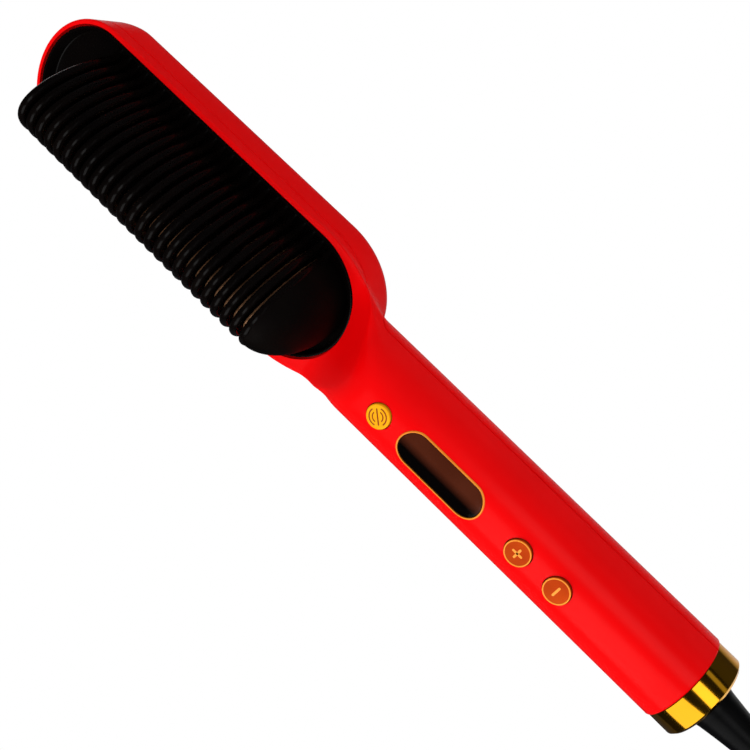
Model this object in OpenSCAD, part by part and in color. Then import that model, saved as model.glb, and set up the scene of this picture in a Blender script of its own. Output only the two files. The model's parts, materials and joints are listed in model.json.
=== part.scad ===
// Heated straightening comb: red two-part shell, black finned guard, gold end ring, turning cord boot.
// Lies on its back: +X runs from the head's tip to the cord, +Z points up through the comb.
// Origin: middle of the resting box, on the surface it lies on. All sizes in millimetres.

/* [Head] */
// Width of the head across the rim
head_w = 48.2; // [45:0.2:54]
// Head outline's length, tip to where it would close inside the handle
head_len = 150.2; // [140:0.5:165]
// Length of the curved part of the outline at the tip
tip_round = 22.6; // [18:0.2:28]
// Length of the curved part of the outline at the neck
neck_round = 28.6; // [24:0.5:32]
// Height of the rim face above the handle's axis, below it when negative
rim_rise = -1.8; // [-3:0.1:-1]
// Depth of the head's back below the handle's axis
back_drop = 24.6; // [24:0.1:27]
// Width of the red rim round the black recess
rim_w = 2.1; // [2:0.1:3]
// Red web between the recess and the end of the head outline
neck_web = 4.7; // [4:0.1:6]
// Depth of the recess floor below the rim face
recess_depth = 5.1; // [4.5:0.1:6]
// Radius of the long back edges
back_edge_r = 7; // [4:0.5:9]
// Radius of the back edge at the tip
tip_back_r = 11; // [6:0.5:14]
// Wall thickness of both shells
wall = 1.8; // [1.4:0.1:2]
// Height of the shells' parting line above the handle's axis, along the handle
split_rise = 1; // [0:0.1:2]
// Depth of the parting line below the rim face, round the head
head_split_drop = 5.6; // [4:0.1:6.4]
// Radius of the hollow corner between head and handle
neck_fillet = 8; // [5:0.5:10]

/* [Handle] */
// Handle diameter at the neck
handle_d = 31; // [29:0.2:34]
// Handle diameter at the cord end
handle_end_d = 29.9; // [29.2:0.1:31]
// Length of the handle, recess to end ring
handle_len = 142.6; // [135:0.2:165]
// Length over which the handle's top runs down to the rim
scoop_len = 18; // [14:0.5:20]

/* [Comb] */
// Number of fins
fin_count = 25; // [15:1:25]
// Distance from fin to fin
fin_pitch = 4.19; // [3.8:0.01:4.2]
// Distance from the head's tip to the first fin
first_fin = 24; // [23:0.1:25]
// Width of a fin at its base
fin_w = 32.4; // [30:0.2:33]
// Height of a fin above the recess floor
fin_h = 40.6; // [30:0.1:42]
// Lean of the fins towards the handle, degrees
fin_lean = 9; // [0:0.5:10]
// Thickness of a fin's blade
blade_t = 1.3; // [1:0.1:1.5]
// Thickness of the bead along a fin's edge
bead_t = 2.6; // [2:0.1:2.9]
// Depth of the bead along a fin's edge
bead_h = 2.4; // [1.5:0.1:3.5]
// Thickness of the guard's floor plate
floor_t = 3; // [2.5:0.1:3.5]
// Thickness of the guard's upstand inside the rim
liner_t = 1; // [0.8:0.1:1.5]
// Length of the sloped block behind the last fin
nose_len = 13; // [8:0.5:14]

/* [Heater] */
// Thickness of a heating fin
hot_fin_t = 1; // [0.8:0.1:1.2]
// How far the heating fins stay below and inside the guard's fins
hot_fin_drop = 5; // [4:0.2:7]
// Thickness of the heater's base block
block_t = 2; // [1.6:0.1:2.4]
// Half width of the heater's base block
block_half = 12.4; // [12:0.1:12.8]
// Thickness of the ceramic heating plates
plate_t = 1.5; // [1.2:0.1:1.8]
// Thickness of the insulation sheet
sheet_t = 0.5; // [0.4:0.1:0.8]
// Thickness of the steel clamp plate
clamp_t = 1.5; // [1.2:0.1:1.8]
// Thickness of the heat shield
shield_t = 0.6; // [0.5:0.1:0.8]
// Diameter of the thermal fuse
fuse_d = 3; // [2.6:0.1:3.2]

/* [Controls] */
// Distance from the recess to the power button
power_step = 28.2; // [26:0.1:30]
// Distance from the power button to the middle of the display
display_step = 24.9; // [23.5:0.1:26]
// Distance from the middle of the display to the plus button
plus_step = 31.3; // [26:0.1:32]
// Distance from the plus button to the minus button
minus_step = 15; // [13.5:0.1:16]
// Diameter of the power button
power_d = 8; // [7:0.1:9]
// Diameter of the plus and minus buttons
adjust_d = 8.4; // [7:0.1:9]
// Height of the button faces above the handle
button_proud = 0.4; // [0.2:0.1:0.8]
// Travel of the buttons
button_travel = 0.5; // [0.3:0.1:0.6]
// Gap round the buttons
button_gap = 0.3; // [0.25:0.05:0.4]
// Length of the display's bezel
display_len = 33.4; // [28:0.2:36]
// Width of the display's bezel
display_w = 12.6; // [10:0.2:13]
// Width of the bezel's band
bezel_w = 0.8; // [0.6:0.1:1.2]
// Height of the control board's underside above the handle's axis
board_rise = 4; // [3:0.2:5]
// Thickness of the control board
board_t = 1.6; // [1:0.1:1.8]
// Width of the control board
board_w = 22; // [18:0.5:22]

/* [Cord end] */
// Length of the gold ring that shows
ring_len = 8.2; // [7:0.2:11]
// Diameter of the gold ring
ring_d = 29; // [27:0.2:29.2]
// Diameter of the cord boot where it leaves the ring
boot_d = 13.8; // [12:0.2:15]
// Diameter of the boot's far end
boot_end_d = 9; // [8:0.2:10]
// Length of the boot outside the ring
boot_len = 32; // [24:1:45]
// Gap between the boot and the ring
boot_gap = 0.4; // [0.3:0.05:0.5]
// Radius of the swivel's journal
journal_r = 6.6; // [6:0.1:7]
// Running clearance of the swivel's journal
journal_gap = 0.1; // [0.05:0.01:0.1]

/* [Cord] */
// Diameter of the mains cord
cord_d = 6; // [5:0.2:7]
// Half width of the hank's outer turn, on the cord's centre line
hank_half = 24.8; // [24.6:0.2:28]
// Length of the hank's straight runs
hank_run = 50; // [30:1:90]
// Whole turns in the hank
hank_turns = 6; // [3:1:6]
// Spacing of the turns, sideways and from layer to layer
turn_step = 6.6; // [6.5:0.1:7]
// Width of the plug's body
plug_w = 26; // [25:0.5:30]
// Thickness of the plug's body
plug_t = 13.6; // [12:0.2:16]
// Length of the plug's body
plug_len = 28; // [24:1:36]
// Width of the tie round the hank
tie_w = 10; // [6:1:14]
// Thickness of the tie's band
tie_t = 0.6; // [0.5:0.1:0.8]

/* [Hidden] */
$fn = 48;
fit = 0.1;
seat_gap = 0.3;
eps = 0.01;
axis_z = handle_d / 2;
head_half = head_w / 2;
neck_c = head_len - neck_round;
recess_end = head_len - neck_web;
head_split = rim_rise - head_split_drop;
handle_end = recess_end + handle_len;
power_at = recess_end + power_step;
display_at = power_at + display_step;
plus_at = display_at + plus_step;
minus_at = plus_at + minus_step;
floor_top = rim_rise - recess_depth;
floor_low = floor_top - floor_t;
block_low = floor_low - block_t;
plate_low = block_low - plate_t;
sheet_low = plate_low - sheet_t;
clamp_low = sheet_low - clamp_t;
back_in = wall - back_drop;
shield_low = back_in + 1;
last_fin = first_fin + (fin_count - 1) * fin_pitch;
comb_mid = (first_fin + last_fin) / 2;
heat_half = (last_fin - first_fin) / 2 - 2;
ellipse_steps = 30;
arch_steps = 20;
arch_dip = 3;
arch_rise = fin_h + arch_dip;
fin_root = 1.5;
split_ramp = 10;
cone_rate = (handle_d - handle_end_d) / 2 / (handle_end - recess_end);
board_top = board_rise + board_t;
board_from = power_at - 7;
board_to = minus_at + 5.5;
neck_screw_at = board_from - 6;
handle_boss_r = 3.4;
head_post_y = block_half + 5;
head_post_r = 3.4;
guard_screw_y = 8;
screw_r = 1.2;
screw_gap = 0.05;
screw_head_r = 2.3;
screw_head_h = 1.6;
head_sink = 2.5;
handle_sink = 4;
board_screw_r = 1;
board_screw_y = 8;
lead_y = 4.6;
lead_r = 0.8;
flange_w = 1;
flange_t = 0.9;
stem_r = 2;
switch_side = 6;
switch_h = 3.4;
plunger_r = 1.6;
ring_end = handle_end + ring_len;
spigot_len = 8;
carrier_len = 20.4;
spigot_from = handle_end - spigot_len;
carrier_from = spigot_from - carrier_len;
rear_screw_at = carrier_from - handle_boss_r - 0.6;
boot_end = ring_end + boot_len;
boot_flange_r = 9;
full_len = boot_end;
lay_z = cord_d / 2 + tie_t + 0.2;
hank_from = boot_end + 83.4;
hank_layers = 6;
coil_rings = 24;
run_rings = 2;
arc_rings = 10;
entry_rings = 2;
plug_relief = 9;
pin_r = 2;
pin_len = 19;
pin_gap = 18.6;

// Places a piece given as distance from the tip, side, and height above the handle's axis.
module place() {
  translate([-full_len / 2, 0, back_drop])
    children();
}

function handle_r(s) = handle_d / 2 - cone_rate * (s - recess_end);

function scoop_top(s) =
  let (t = min(1, max(0, (s - recess_end - 1) / scoop_len)))
  rim_rise + (axis_z + 1 - rim_rise) * (1 - cos(180 * t)) / 2;

function head_points(side, neck) = concat(
  [for (i = [0 : ellipse_steps]) let (a = 90 + 180 * i / ellipse_steps)
    [tip_round + (tip_round - side) * cos(a), (head_half - side) * sin(a)]],
  [for (i = [0 : ellipse_steps]) let (a = -90 + 180 * i / ellipse_steps)
    [neck_c + (neck_round - neck) * cos(a), (head_half - side) * sin(a)]]
);

// Extrudes a drawing of side and height along X from one station to another.
module along_x(from, to) {
  translate([from, 0, 0])
    rotate([90, 0, 90])
      linear_extrude(to - from)
        children();
}

// Extrudes a drawing of length and height across the full width.
module across_y(half) {
  translate([0, half, 0])
    rotate([90, 0, 0])
      linear_extrude(2 * half)
        children();
}

module cone_x(from, to, r_from, r_to) {
  translate([from, 0, 0])
    rotate([0, 90, 0])
      cylinder(h = to - from, r1 = r_from, r2 = r_to);
}

module post(s, y, low, high, r) {
  translate([s, y, low])
    cylinder(h = high - low, r = r);
}

module slab(from, to, half, low, high) {
  translate([from, -half, low])
    cube([to - from, 2 * half, high - low]);
}

// A box section whose two lower corners are rounded.
module round_bottom(half, low, high, r) {
  translate([-half, low + r])
    square([2 * half, high - low - r]);
  translate([r - half, low])
    square([2 * (half - r), r + eps]);
  for (side = [-1, 1])
    translate([side * (half - r), low + r])
      circle(r = r);
}

// Side view of the whole shell: round at the tip's back, flat below, scooped top at the neck.
module side_view(inset) {
  low = inset - back_drop;
  r = tip_back_r - inset;
  steps = 14;
  top = concat(
    [[0, rim_rise - inset], [recess_end + 1, rim_rise - inset]],
    [for (i = [1 : steps]) let (s = recess_end + 1 + scoop_len * i / steps) [s, scoop_top(s) - inset]],
    [[full_len, axis_z + 1]]
  );
  difference() {
    polygon(concat(top, [[full_len, low], [inset, low], [inset, rim_rise - inset]]));
    difference() {
      translate([inset - 1, low - 1])
        square([r + 1, r + 1]);
      translate([inset + r, low + r])
        circle(r = r);
    }
  }
}

module head_block(inset) {
  intersection() {
    translate([0, 0, -back_drop - 1])
      linear_extrude(back_drop + axis_z)
        polygon(head_points(inset, inset));
    along_x(-1, head_len + 1)
      round_bottom(head_half - inset, inset - back_drop, axis_z, back_edge_r - inset);
  }
}

// Hollow corner between the head's outline and the round handle.
module neck_flare() {
  r = handle_r(recess_end);
  corner = neck_c + neck_round * sqrt(1 - pow(r / head_half, 2));
  slope = atan(pow(head_half / neck_round, 2) * (corner - neck_c) / r);
  reach = neck_fillet * tan(slope / 2);
  rotate([0, 90, 0])
    rotate_extrude()
      difference() {
        translate([0, corner - reach * cos(slope)])
          square([r + reach * sin(slope), reach * (1 + cos(slope))]);
        translate([r + neck_fillet, corner + reach])
          circle(r = neck_fillet);
      }
}

module shell_form(inset, to) {
  intersection() {
    union() {
      head_block(inset);
      cone_x(neck_c, to, handle_r(neck_c) - inset, handle_r(to) - inset);
      if (inset == 0)
        neck_flare();
    }
    across_y(head_w)
      side_view(inset);
  }
}

// Side view of all that lies between the parting line and a level above or below it.
module beyond_split(level) {
  polygon([
    [-1, head_split], [recess_end + 1, head_split], [recess_end + 1 + split_ramp, split_rise],
    [full_len, split_rise], [full_len, level], [-1, level]
  ]);
}

module recess_form(side, neck, low, high) {
  translate([0, 0, low])
    linear_extrude(high - low)
      polygon(head_points(side, neck));
}

module racetrack(length, width) {
  square([length - width, width], center = true);
  for (side = [-1, 1])
    translate([side * (length - width) / 2, 0])
      circle(d = width);
}

module display_prism(grow) {
  translate([display_at, 0, board_top])
    linear_extrude(axis_z)
      racetrack(display_len + 2 * grow, display_w + 2 * grow);
}

module handle_band(outside, inside) {
  difference() {
    cone_x(board_from, board_to, handle_r(board_from) + outside, handle_r(board_to) + outside);
    cone_x(board_from - 1, board_to + 1, handle_r(board_from - 1) - inside, handle_r(board_to + 1) - inside);
  }
}

function button_d(s) = s == power_at ? power_d : adjust_d;
function flange_top(s) =
  sqrt(pow(handle_r(s) - wall, 2) - pow(button_d(s) / 2 + flange_w, 2)) - 0.5;

module front_housing() {
  color([0.85, 0.03, 0.05])
    place()
      difference() {
        union() {
          difference() {
            intersection() {
              shell_form(0, handle_end);
              across_y(head_w)
                beyond_split(axis_z + 1);
            }
            shell_form(wall, handle_end + 1);
            recess_form(rim_w, neck_web, head_split - 1, axis_z + 2);
          }
          intersection() {
            union() {
              post(neck_screw_at, 0, split_rise, axis_z, handle_boss_r);
              post(rear_screw_at, 0, split_rise, axis_z, handle_boss_r);
              for (s = [power_at, plus_at, minus_at])
                post(s, 0, flange_top(s) + seat_gap, axis_z, button_d(s) / 2 + 2);
            }
            shell_form(wall / 2, handle_end);
          }
        }
        for (s = [neck_screw_at, rear_screw_at])
          post(s, 0, 0, board_top + 1.2, screw_r + screw_gap);
        for (s = [power_at, plus_at, minus_at])
          post(s, 0, board_rise, axis_z + 2, button_d(s) / 2 + button_gap);
        display_prism(0);
      }
}

module rear_housing() {
  color([0.78, 0.03, 0.05])
    place()
      difference() {
        union() {
          difference() {
            intersection() {
              shell_form(0, handle_end);
              across_y(head_w)
                beyond_split(-back_drop - 1);
            }
            shell_form(wall, handle_end + 1);
          }
          intersection() {
            shell_form(wall / 2, handle_end);
            union() {
              for (s = [neck_screw_at, rear_screw_at])
                post(s, 0, -axis_z, split_rise, handle_boss_r);
              for (s = board_screw_at())
                for (y = [-board_screw_y, board_screw_y])
                  post(s, y, -axis_z, board_rise, 2.4);
              for (s = head_post_at())
                for (y = [-head_post_y, head_post_y])
                  post(s, y, -back_drop, block_low, head_post_r);
              for (s = [first_fin + 6, last_fin - 6])
                for (y = [-8, 8])
                  slab_at(s, y, 4, -back_drop, shield_low);
            }
          }
        }
        for (s = [neck_screw_at, rear_screw_at]) {
          post(s, 0, -axis_z - 1, axis_z, screw_r + screw_gap);
          post(s, 0, -axis_z - 1, handle_sink - axis_z, screw_head_r + seat_gap);
        }
        for (s = board_screw_at())
          for (y = [-board_screw_y, board_screw_y])
            post(s, y, board_rise - 5, board_rise + 1, board_screw_r + screw_gap);
        for (s = head_post_at())
          for (y = [-head_post_y, head_post_y]) {
            post(s, y, -back_drop - 1, axis_z, screw_r + screw_gap);
            post(s, y, -back_drop - 1, head_sink - back_drop, screw_head_r + seat_gap);
          }
      }
}

function head_post_at() = [first_fin + 14, last_fin - 14];
function spigot_r() = handle_r(handle_end) - wall - fit;

function board_screw_at() = [board_from + 3, board_to - 3];

module slab_at(s, y, side, low, high) {
  translate([s - side / 2, y - side / 2, low])
    cube([side, side, high - low]);
}

// Outline of a fin: an upright half ellipse cut off at its foot.
module arch(inset, foot) {
  half = fin_w / 2 / sqrt(1 - pow(arch_dip / arch_rise, 2));
  start = asin(arch_dip / arch_rise);
  polygon(concat(
    [[fin_w / 2 - inset, foot]],
    [for (i = [0 : arch_steps]) let (a = start + (180 - 2 * start) * i / arch_steps)
      [(half - inset) * cos(a), (arch_rise - inset) * sin(a) - arch_dip]],
    [[inset - fin_w / 2, foot]]
  ));
}

// Stands a drawing on the recess floor at a station, leaned towards the handle.
module leaned(s, thick) {
  translate([s, 0, floor_top])
    rotate([0, fin_lean, 0])
      along_x(-thick / 2, thick / 2)
        children();
}

// One fin: the bead is left standing round the edge by a pocket on each side.
module guard_fin(s) {
  translate([s, 0, floor_top])
    rotate([0, fin_lean, 0])
      difference() {
        along_x(-bead_t / 2, bead_t / 2)
          arch(0, -fin_root);
        for (side = [0, 1])
          mirror([side, 0, 0])
            along_x(blade_t / 2, bead_t)
              arch(bead_h, -2 * fin_root);
      }
}

// Sloped end block: the fin's outline, a rounded plan and a falling side view, intersected.
module guard_nose() {
  steps = 12;
  top = fin_h - 1;
  lean = tan(fin_lean);
  intersection() {
    along_x(last_fin, last_fin + nose_len + top * lean)
      translate([0, floor_top])
        arch(bead_h / 4, -1);
    translate([last_fin, 0, floor_low])
      linear_extrude(2 * fin_h)
        polygon([for (i = [0 : steps]) let (a = -90 + 180 * i / steps)
          [nose_len * cos(a), fin_w / 2 * sin(a)]]);
    across_y(fin_w)
      polygon(concat(
        [[last_fin, floor_low + 1], [last_fin, floor_top]],
        [for (i = [0 : steps]) let (a = 90 - 90 * i / steps)
          [last_fin + nose_len * cos(a) + top * lean * sin(a), floor_top + top * sin(a)]],
        [[last_fin + nose_len, floor_low + 1]]
      ));
  }
}

// The tray alone is slotted and drilled, then the fins are added to it.
module guard_tray() {
  difference() {
    union() {
      difference() {
        recess_form(rim_w + fit, neck_web + fit, floor_low, rim_rise - seat_gap);
        recess_form(rim_w + fit + liner_t, neck_web + fit + liner_t, floor_top, rim_rise + 1);
      }
      for (s = head_post_at())
        for (y = [-1, 1])
          post(s, y * head_post_y, block_low, floor_low + 1, head_post_r);
    }
    for (i = [0 : fin_count - 2])
      translate([first_fin + (i + 0.5) * fin_pitch, 0, floor_top])
        rotate([0, fin_lean, 0])
          slab(-hot_slot() / 2, hot_slot() / 2, fin_w / 2 - hot_fin_drop + fit, -2 * floor_t, 2);
    for (s = head_post_at())
      for (y = [-1, 1])
        post(s, y * head_post_y, block_low - 1, floor_top - 0.8, screw_r + screw_gap);
    for (s = guard_screw_at())
      for (y = [-1, 1])
        post(s, y * guard_screw_y, floor_low - 1, floor_top - 0.8, screw_r + screw_gap);
  }
}

module comb_guard() {
  color([0.06, 0.05, 0.05])
    place() {
      guard_tray();
      for (i = [0 : fin_count - 1])
        guard_fin(first_fin + i * fin_pitch);
      difference() {
        guard_nose();
        for (s = guard_screw_at())
          for (y = [-1, 1])
            post(s, y * guard_screw_y, floor_low - 1, floor_top - 0.8, screw_r + screw_gap);
      }
    }
}

function guard_screw_at() = [first_fin - 5, last_fin + 5];
function hot_slot() = hot_fin_t + 4 * fit;

module heater_comb() {
  color([0.55, 0.32, 0.18])
    place()
      difference() {
        union() {
          slab(first_fin - 8, last_fin + 8, block_half, block_low, floor_low);
          for (i = [0 : fin_count - 2])
            leaned(first_fin + (i + 0.5) * fin_pitch, hot_fin_t)
              arch(hot_fin_drop, -floor_t - 0.3);
        }
        for (s = guard_screw_at())
          for (y = [-1, 1])
            post(s, y * guard_screw_y, block_low - 1, floor_top + 1, screw_r + screw_gap);
        for (s = clamp_screw_at())
          for (y = [-1, 1])
            post(s, y * (block_half - 2.4), block_low - 1, floor_low - 0.5, screw_r + screw_gap);
      }
}

function clamp_screw_at() = [comb_mid - heat_half + 2, comb_mid, comb_mid + heat_half - 2];

module heating_plate(side) {
  color([0.92, 0.92, 0.88])
    place()
      slab(
        side < 0 ? comb_mid - heat_half : comb_mid + 2.5,
        side < 0 ? comb_mid - 2.5 : comb_mid + heat_half,
        block_half - 4, plate_low, block_low
      );
}

module insulation_sheet() {
  color([0.75, 0.68, 0.5])
    place()
      slab(comb_mid - heat_half, comb_mid + heat_half, block_half - 4, sheet_low, plate_low);
}

module clamp_plate() {
  color([0.7, 0.71, 0.73])
    place()
      difference() {
        slab(comb_mid - heat_half - 1, comb_mid + heat_half + 1, block_half, clamp_low, sheet_low);
        for (s = clamp_screw_at())
          for (y = [-1, 1])
            post(s, y * (block_half - 2.4), clamp_low - 1, sheet_low + 1, screw_r + screw_gap);
      }
}

module heat_shield() {
  color([0.8, 0.81, 0.83])
    place()
      slab(first_fin + 2, last_fin - 2, block_half - 1.5, shield_low, shield_low + shield_t);
}

module temperature_sensor() {
  color([0.15, 0.15, 0.16])
    place()
      translate([comb_mid, 6, plate_low + plate_t / 2])
        rotate([90, 0, 0])
          cylinder(h = 12, r = plate_t / 2);
}

module thermal_fuse() {
  color([0.82, 0.8, 0.76])
    place()
      translate([0, 0, clamp_low - fuse_d / 2])
        cone_x(comb_mid - 20, comb_mid - 8, fuse_d / 2, fuse_d / 2);
}

module heater_leads() {
  low = block_low - lead_r - 0.1;
  color([0.9, 0.9, 0.88])
    place()
      for (y = [-1, 1])
        tube([
          [comb_mid + heat_half, y * 4, low],
          [recess_end - 6, y * lead_y, low],
          [recess_end + 1, y * lead_y, low + 1],
          [board_from - 7, y * lead_y, board_rise - 2],
          [board_from - 2, y * lead_y, board_rise - lead_r],
          [board_from + 1, y * lead_y, board_rise - lead_r]
        ], lead_r, 10);
}

module sensor_lead() {
  low = clamp_low - fuse_d / 2;
  color([0.2, 0.2, 0.22])
    place()
      tube([
        [comb_mid - 8, 0, low],
        [recess_end - 14, 0, low],
        [recess_end - 8, 6, low + 0.5],
        [recess_end + 2, 9, low + 8],
        [board_from - 6, 9, board_rise - 1.6],
        [board_from - 2, 9, board_rise - 0.6],
        [board_from + 0.4, 9, board_rise - 0.6]
      ], 0.6, 10);
}

module control_board() {
  color([0.05, 0.3, 0.16])
    place()
      difference() {
        slab(board_from, board_to, board_w / 2, board_rise, board_top);
        for (s = board_screw_at())
          for (y = [-board_screw_y, board_screw_y])
            post(s, y, board_rise - 1, board_top + 1, board_screw_r + screw_gap);
      }
}

module driver_chip() {
  color([0.08, 0.08, 0.09])
    place()
      translate([display_at - 14, -4, board_rise - 1.2])
        cube([8, 8, 1.2]);
}

module relay() {
  color([0.1, 0.2, 0.5])
    place()
      translate([display_at + 2, -5, board_rise - 9])
        cube([14, 10, 9]);
}

module capacitor() {
  color([0.12, 0.12, 0.14])
    place()
      translate([0, 0, board_rise - 4])
        cone_x(plus_at - 6, plus_at + 6, 4, 4);
}

module display_module() {
  half = display_w / 2 - bezel_w - 0.5;
  color([0.16, 0.17, 0.18])
    place()
      slab(
        display_at - display_len / 2 + display_w / 2 - 2, display_at + display_len / 2 - display_w / 2 + 2,
        half, board_top, sqrt(pow(handle_r(display_at) - wall, 2) - pow(half, 2)) - seat_gap
      );
}

module display_lens() {
  color([0.1, 0.05, 0.04, 0.7])
    place()
      intersection() {
        display_prism(-bezel_w - screw_gap);
        handle_band(0, wall);
      }
}

module display_bezel() {
  color([0.95, 0.5, 0.15])
    place()
      difference() {
        intersection() {
          display_prism(-screw_gap);
          handle_band(0.25, wall);
        }
        display_prism(-bezel_w);
      }
}

module tact_switch(s) {
  color([0.2, 0.2, 0.22])
    place()
      difference() {
        slab_at(s, 0, switch_side, board_top, board_top + switch_h);
        post(s, 0, board_top + 1, board_top + switch_h + 1, plunger_r + seat_gap);
      }
}

module plunger(s) {
  color([0.85, 0.85, 0.82])
    place()
      post(s, 0, board_top + 1 + 2 * button_travel, board_top + switch_h + 1, plunger_r);
}

module button_body(s) {
  d = button_d(s);
  top = handle_r(s) + button_proud;
  post(s, 0, flange_top(s) - flange_t, top, d / 2);
  post(s, 0, flange_top(s) - flange_t, flange_top(s), d / 2 + flange_w);
  post(s, 0, board_top + switch_h + 1, flange_top(s), stem_r);
}

module button_bar(s, length, width) {
  translate([s - length / 2, -width / 2, handle_r(s) + button_proud - 0.1])
    cube([length, width, 0.3]);
}

module power_button() {
  color([0.95, 0.68, 0.1])
    place() {
      button_body(power_at);
      button_bar(power_at + 1.3, 2.2, 0.6);
      translate([power_at, 0, handle_r(power_at) + button_proud - 0.1])
        difference() {
          cylinder(h = 0.3, r = 2.3);
          translate([0, 0, -1])
            cylinder(h = 2, r = 1.8);
          translate([1, -0.9, -1])
            cube([2, 1.8, 2]);
        }
    }
}

module plus_button() {
  color([0.8, 0.3, 0.1])
    place() {
      button_body(plus_at);
      button_bar(plus_at, 4, 0.8);
      button_bar(plus_at, 0.8, 4);
    }
}

module minus_button() {
  color([0.8, 0.3, 0.1])
    place() {
      button_body(minus_at);
      button_bar(minus_at, 0.8, 4);
    }
}

module screw(s, y, low, high) {
  post(s, y, low, low + screw_head_h, screw_head_r);
  post(s, y, low, high, screw_r);
}

module handle_screws() {
  color([0.3, 0.3, 0.32])
    place()
      for (s = [neck_screw_at, rear_screw_at])
        screw(s, 0, handle_sink - axis_z - screw_head_h, board_top + 1);
}

module head_screws() {
  color([0.3, 0.3, 0.32])
    place()
      for (s = head_post_at())
        for (y = [-1, 1])
          screw(s, y * head_post_y, head_sink - back_drop - screw_head_h, floor_top - 1);
}

module guard_screws() {
  color([0.3, 0.3, 0.32])
    place()
      for (s = guard_screw_at())
        for (y = [-1, 1])
          screw(s, y * guard_screw_y, block_low - screw_head_h, floor_top - 1);
}

module clamp_screws() {
  color([0.3, 0.3, 0.32])
    place()
      for (s = clamp_screw_at())
        for (y = [-1, 1])
          screw(s, y * (block_half - 2.4), clamp_low - screw_head_h, floor_low - 0.7);
}

module board_screws() {
  color([0.3, 0.3, 0.32])
    place()
      for (s = board_screw_at())
        for (y = [-board_screw_y, board_screw_y]) {
          post(s, y, board_top, board_top + 1.2, 2 * board_screw_r);
          post(s, y, board_rise - 4.5, board_top, board_screw_r);
        }
}

module end_ring() {
  color([0.9, 0.68, 0.15])
    place()
      difference() {
        union() {
          cone_x(spigot_from, handle_end, spigot_r(), spigot_r());
          cone_x(handle_end, ring_end - 0.9, ring_d / 2, ring_d / 2);
          cone_x(ring_end - 0.9, ring_end, ring_d / 2, ring_d / 2 - 0.9);
        }
        cone_x(spigot_from - 1, ring_end + 1, boot_d / 2 + boot_gap, boot_d / 2 + boot_gap);
        cone_x(spigot_from - 1, spigot_from + 3.6, boot_flange_r + boot_gap, boot_flange_r + boot_gap);
      }
}

function contact_at() = [carrier_from + 4, carrier_from + 10];

module swivel_carrier() {
  color([0.88, 0.86, 0.8])
    place()
      difference() {
        cone_x(carrier_from, spigot_from, spigot_r(), spigot_r());
        cone_x(carrier_from + 2, spigot_from + 1, journal_r + journal_gap, journal_r + journal_gap);
        for (s = contact_at())
          translate([s - 1.4, -1.7, 0])
            cube([2.8, 3.4, 10.3]);
      }
}

module contact_springs() {
  color([0.85, 0.62, 0.3])
    place()
      for (s = contact_at())
        translate([s - 1.2, -1.5, journal_r + seat_gap])
          cube([2.4, 3, 10 - journal_r - seat_gap]);
}

module mains_leads() {
  color([0.25, 0.15, 0.1])
    place()
      for (y = [-lead_y, lead_y])
        translate([0, y, board_rise - lead_r])
          cone_x(board_to - 4, carrier_from, lead_r, lead_r);
}

module swivel_core() {
  color([0.8, 0.8, 0.78])
    place() {
      cone_x(carrier_from + 2 + seat_gap, spigot_from - 4, journal_r - 0.8, journal_r - 0.8);
      cone_x(spigot_from - 4, spigot_from + seat_gap, journal_r, journal_r);
    }
}

module contact_rings() {
  color([0.85, 0.62, 0.3])
    place()
      for (s = contact_at())
        difference() {
          cone_x(s - 1.2, s + 1.2, journal_r, journal_r);
          cone_x(s - 2, s + 2, journal_r - 0.8, journal_r - 0.8);
        }
}

module cord_boot() {
  color([0.04, 0.04, 0.045])
    place() {
      r = boot_d / 2;
      cone_x(spigot_from + seat_gap, spigot_from + 3.2, boot_flange_r, boot_flange_r);
      cone_x(spigot_from + 3.2, ring_end, r, r);
      cone_x(ring_end, ring_end + 1, r, r + 0.3);
      cone_x(ring_end + 1, ring_end + 3, r + 0.3, r + 0.3);
      cone_x(ring_end + 3, ring_end + 4, r + 0.3, r);
      cone_x(ring_end + 4, boot_end, r, boot_end_d / 2);
    }
}

// The cord's own frames use distance from the tip, side, and height above the resting surface.
module lay_out() {
  translate([-full_len / 2, 0, 0])
    children();
}

function unit(v) = v / norm(v);
function tangent(p, i) = unit(p[min(i + 1, len(p) - 1)] - p[max(i - 1, 0)]);
function ring_of(p, i, r, sides) =
  let (t = tangent(p, i), u = unit(cross([0, 0, 1], t)), v = cross(t, u))
  [for (k = [0 : sides - 1]) p[i] + r * (cos(360 * k / sides) * u + sin(360 * k / sides) * v)];

// One unbroken tube along a list of points, closed by a fan at each end.
module tube(p, r, sides) {
  n = len(p);
  rings = [for (i = [0 : n - 1]) each ring_of(p, i, r, sides)];
  last = (n - 1) * sides;
  polyhedron(
    concat(rings, [p[0], p[n - 1]]),
    concat(
      [for (i = [0 : n - 2])
        for (k = [0 : sides - 1])
          let (a = i * sides + k, b = i * sides + (k + 1) % sides)
        each [[a, a + sides, b], [b, a + sides, b + sides]]],
      [for (k = [0 : sides - 1]) [n * sides, k, (k + 1) % sides]],
      [for (k = [0 : sides - 1]) [n * sides + 1, last + (k + 1) % sides, last + k]]
    )
  );
}

// Hank: long turns that wind in on the surface, then out and in by turns, a layer higher each time.
coil_count = coil_rings * hank_turns + entry_rings + run_rings;
layer_turns = coil_count / coil_rings / hank_layers;
function turn_at(i) = i / coil_rings;
function hank_side(i) =
  let (t = turn_at(i) / layer_turns / 2, back = abs(t - floor(t) - 0.5) * 2)
  hank_half - turn_step * layer_turns * (1 - back);
function ease(x) = let (c = min(1, max(0, x))) c * c * (3 - 2 * c);
function hank_level(i) =
  let (rises = [for (k = [1 : hank_layers - 1]) ease((turn_at(i) - k * layer_turns + 0.25) / 0.5)])
  rises * [for (x = rises) 1];
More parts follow.
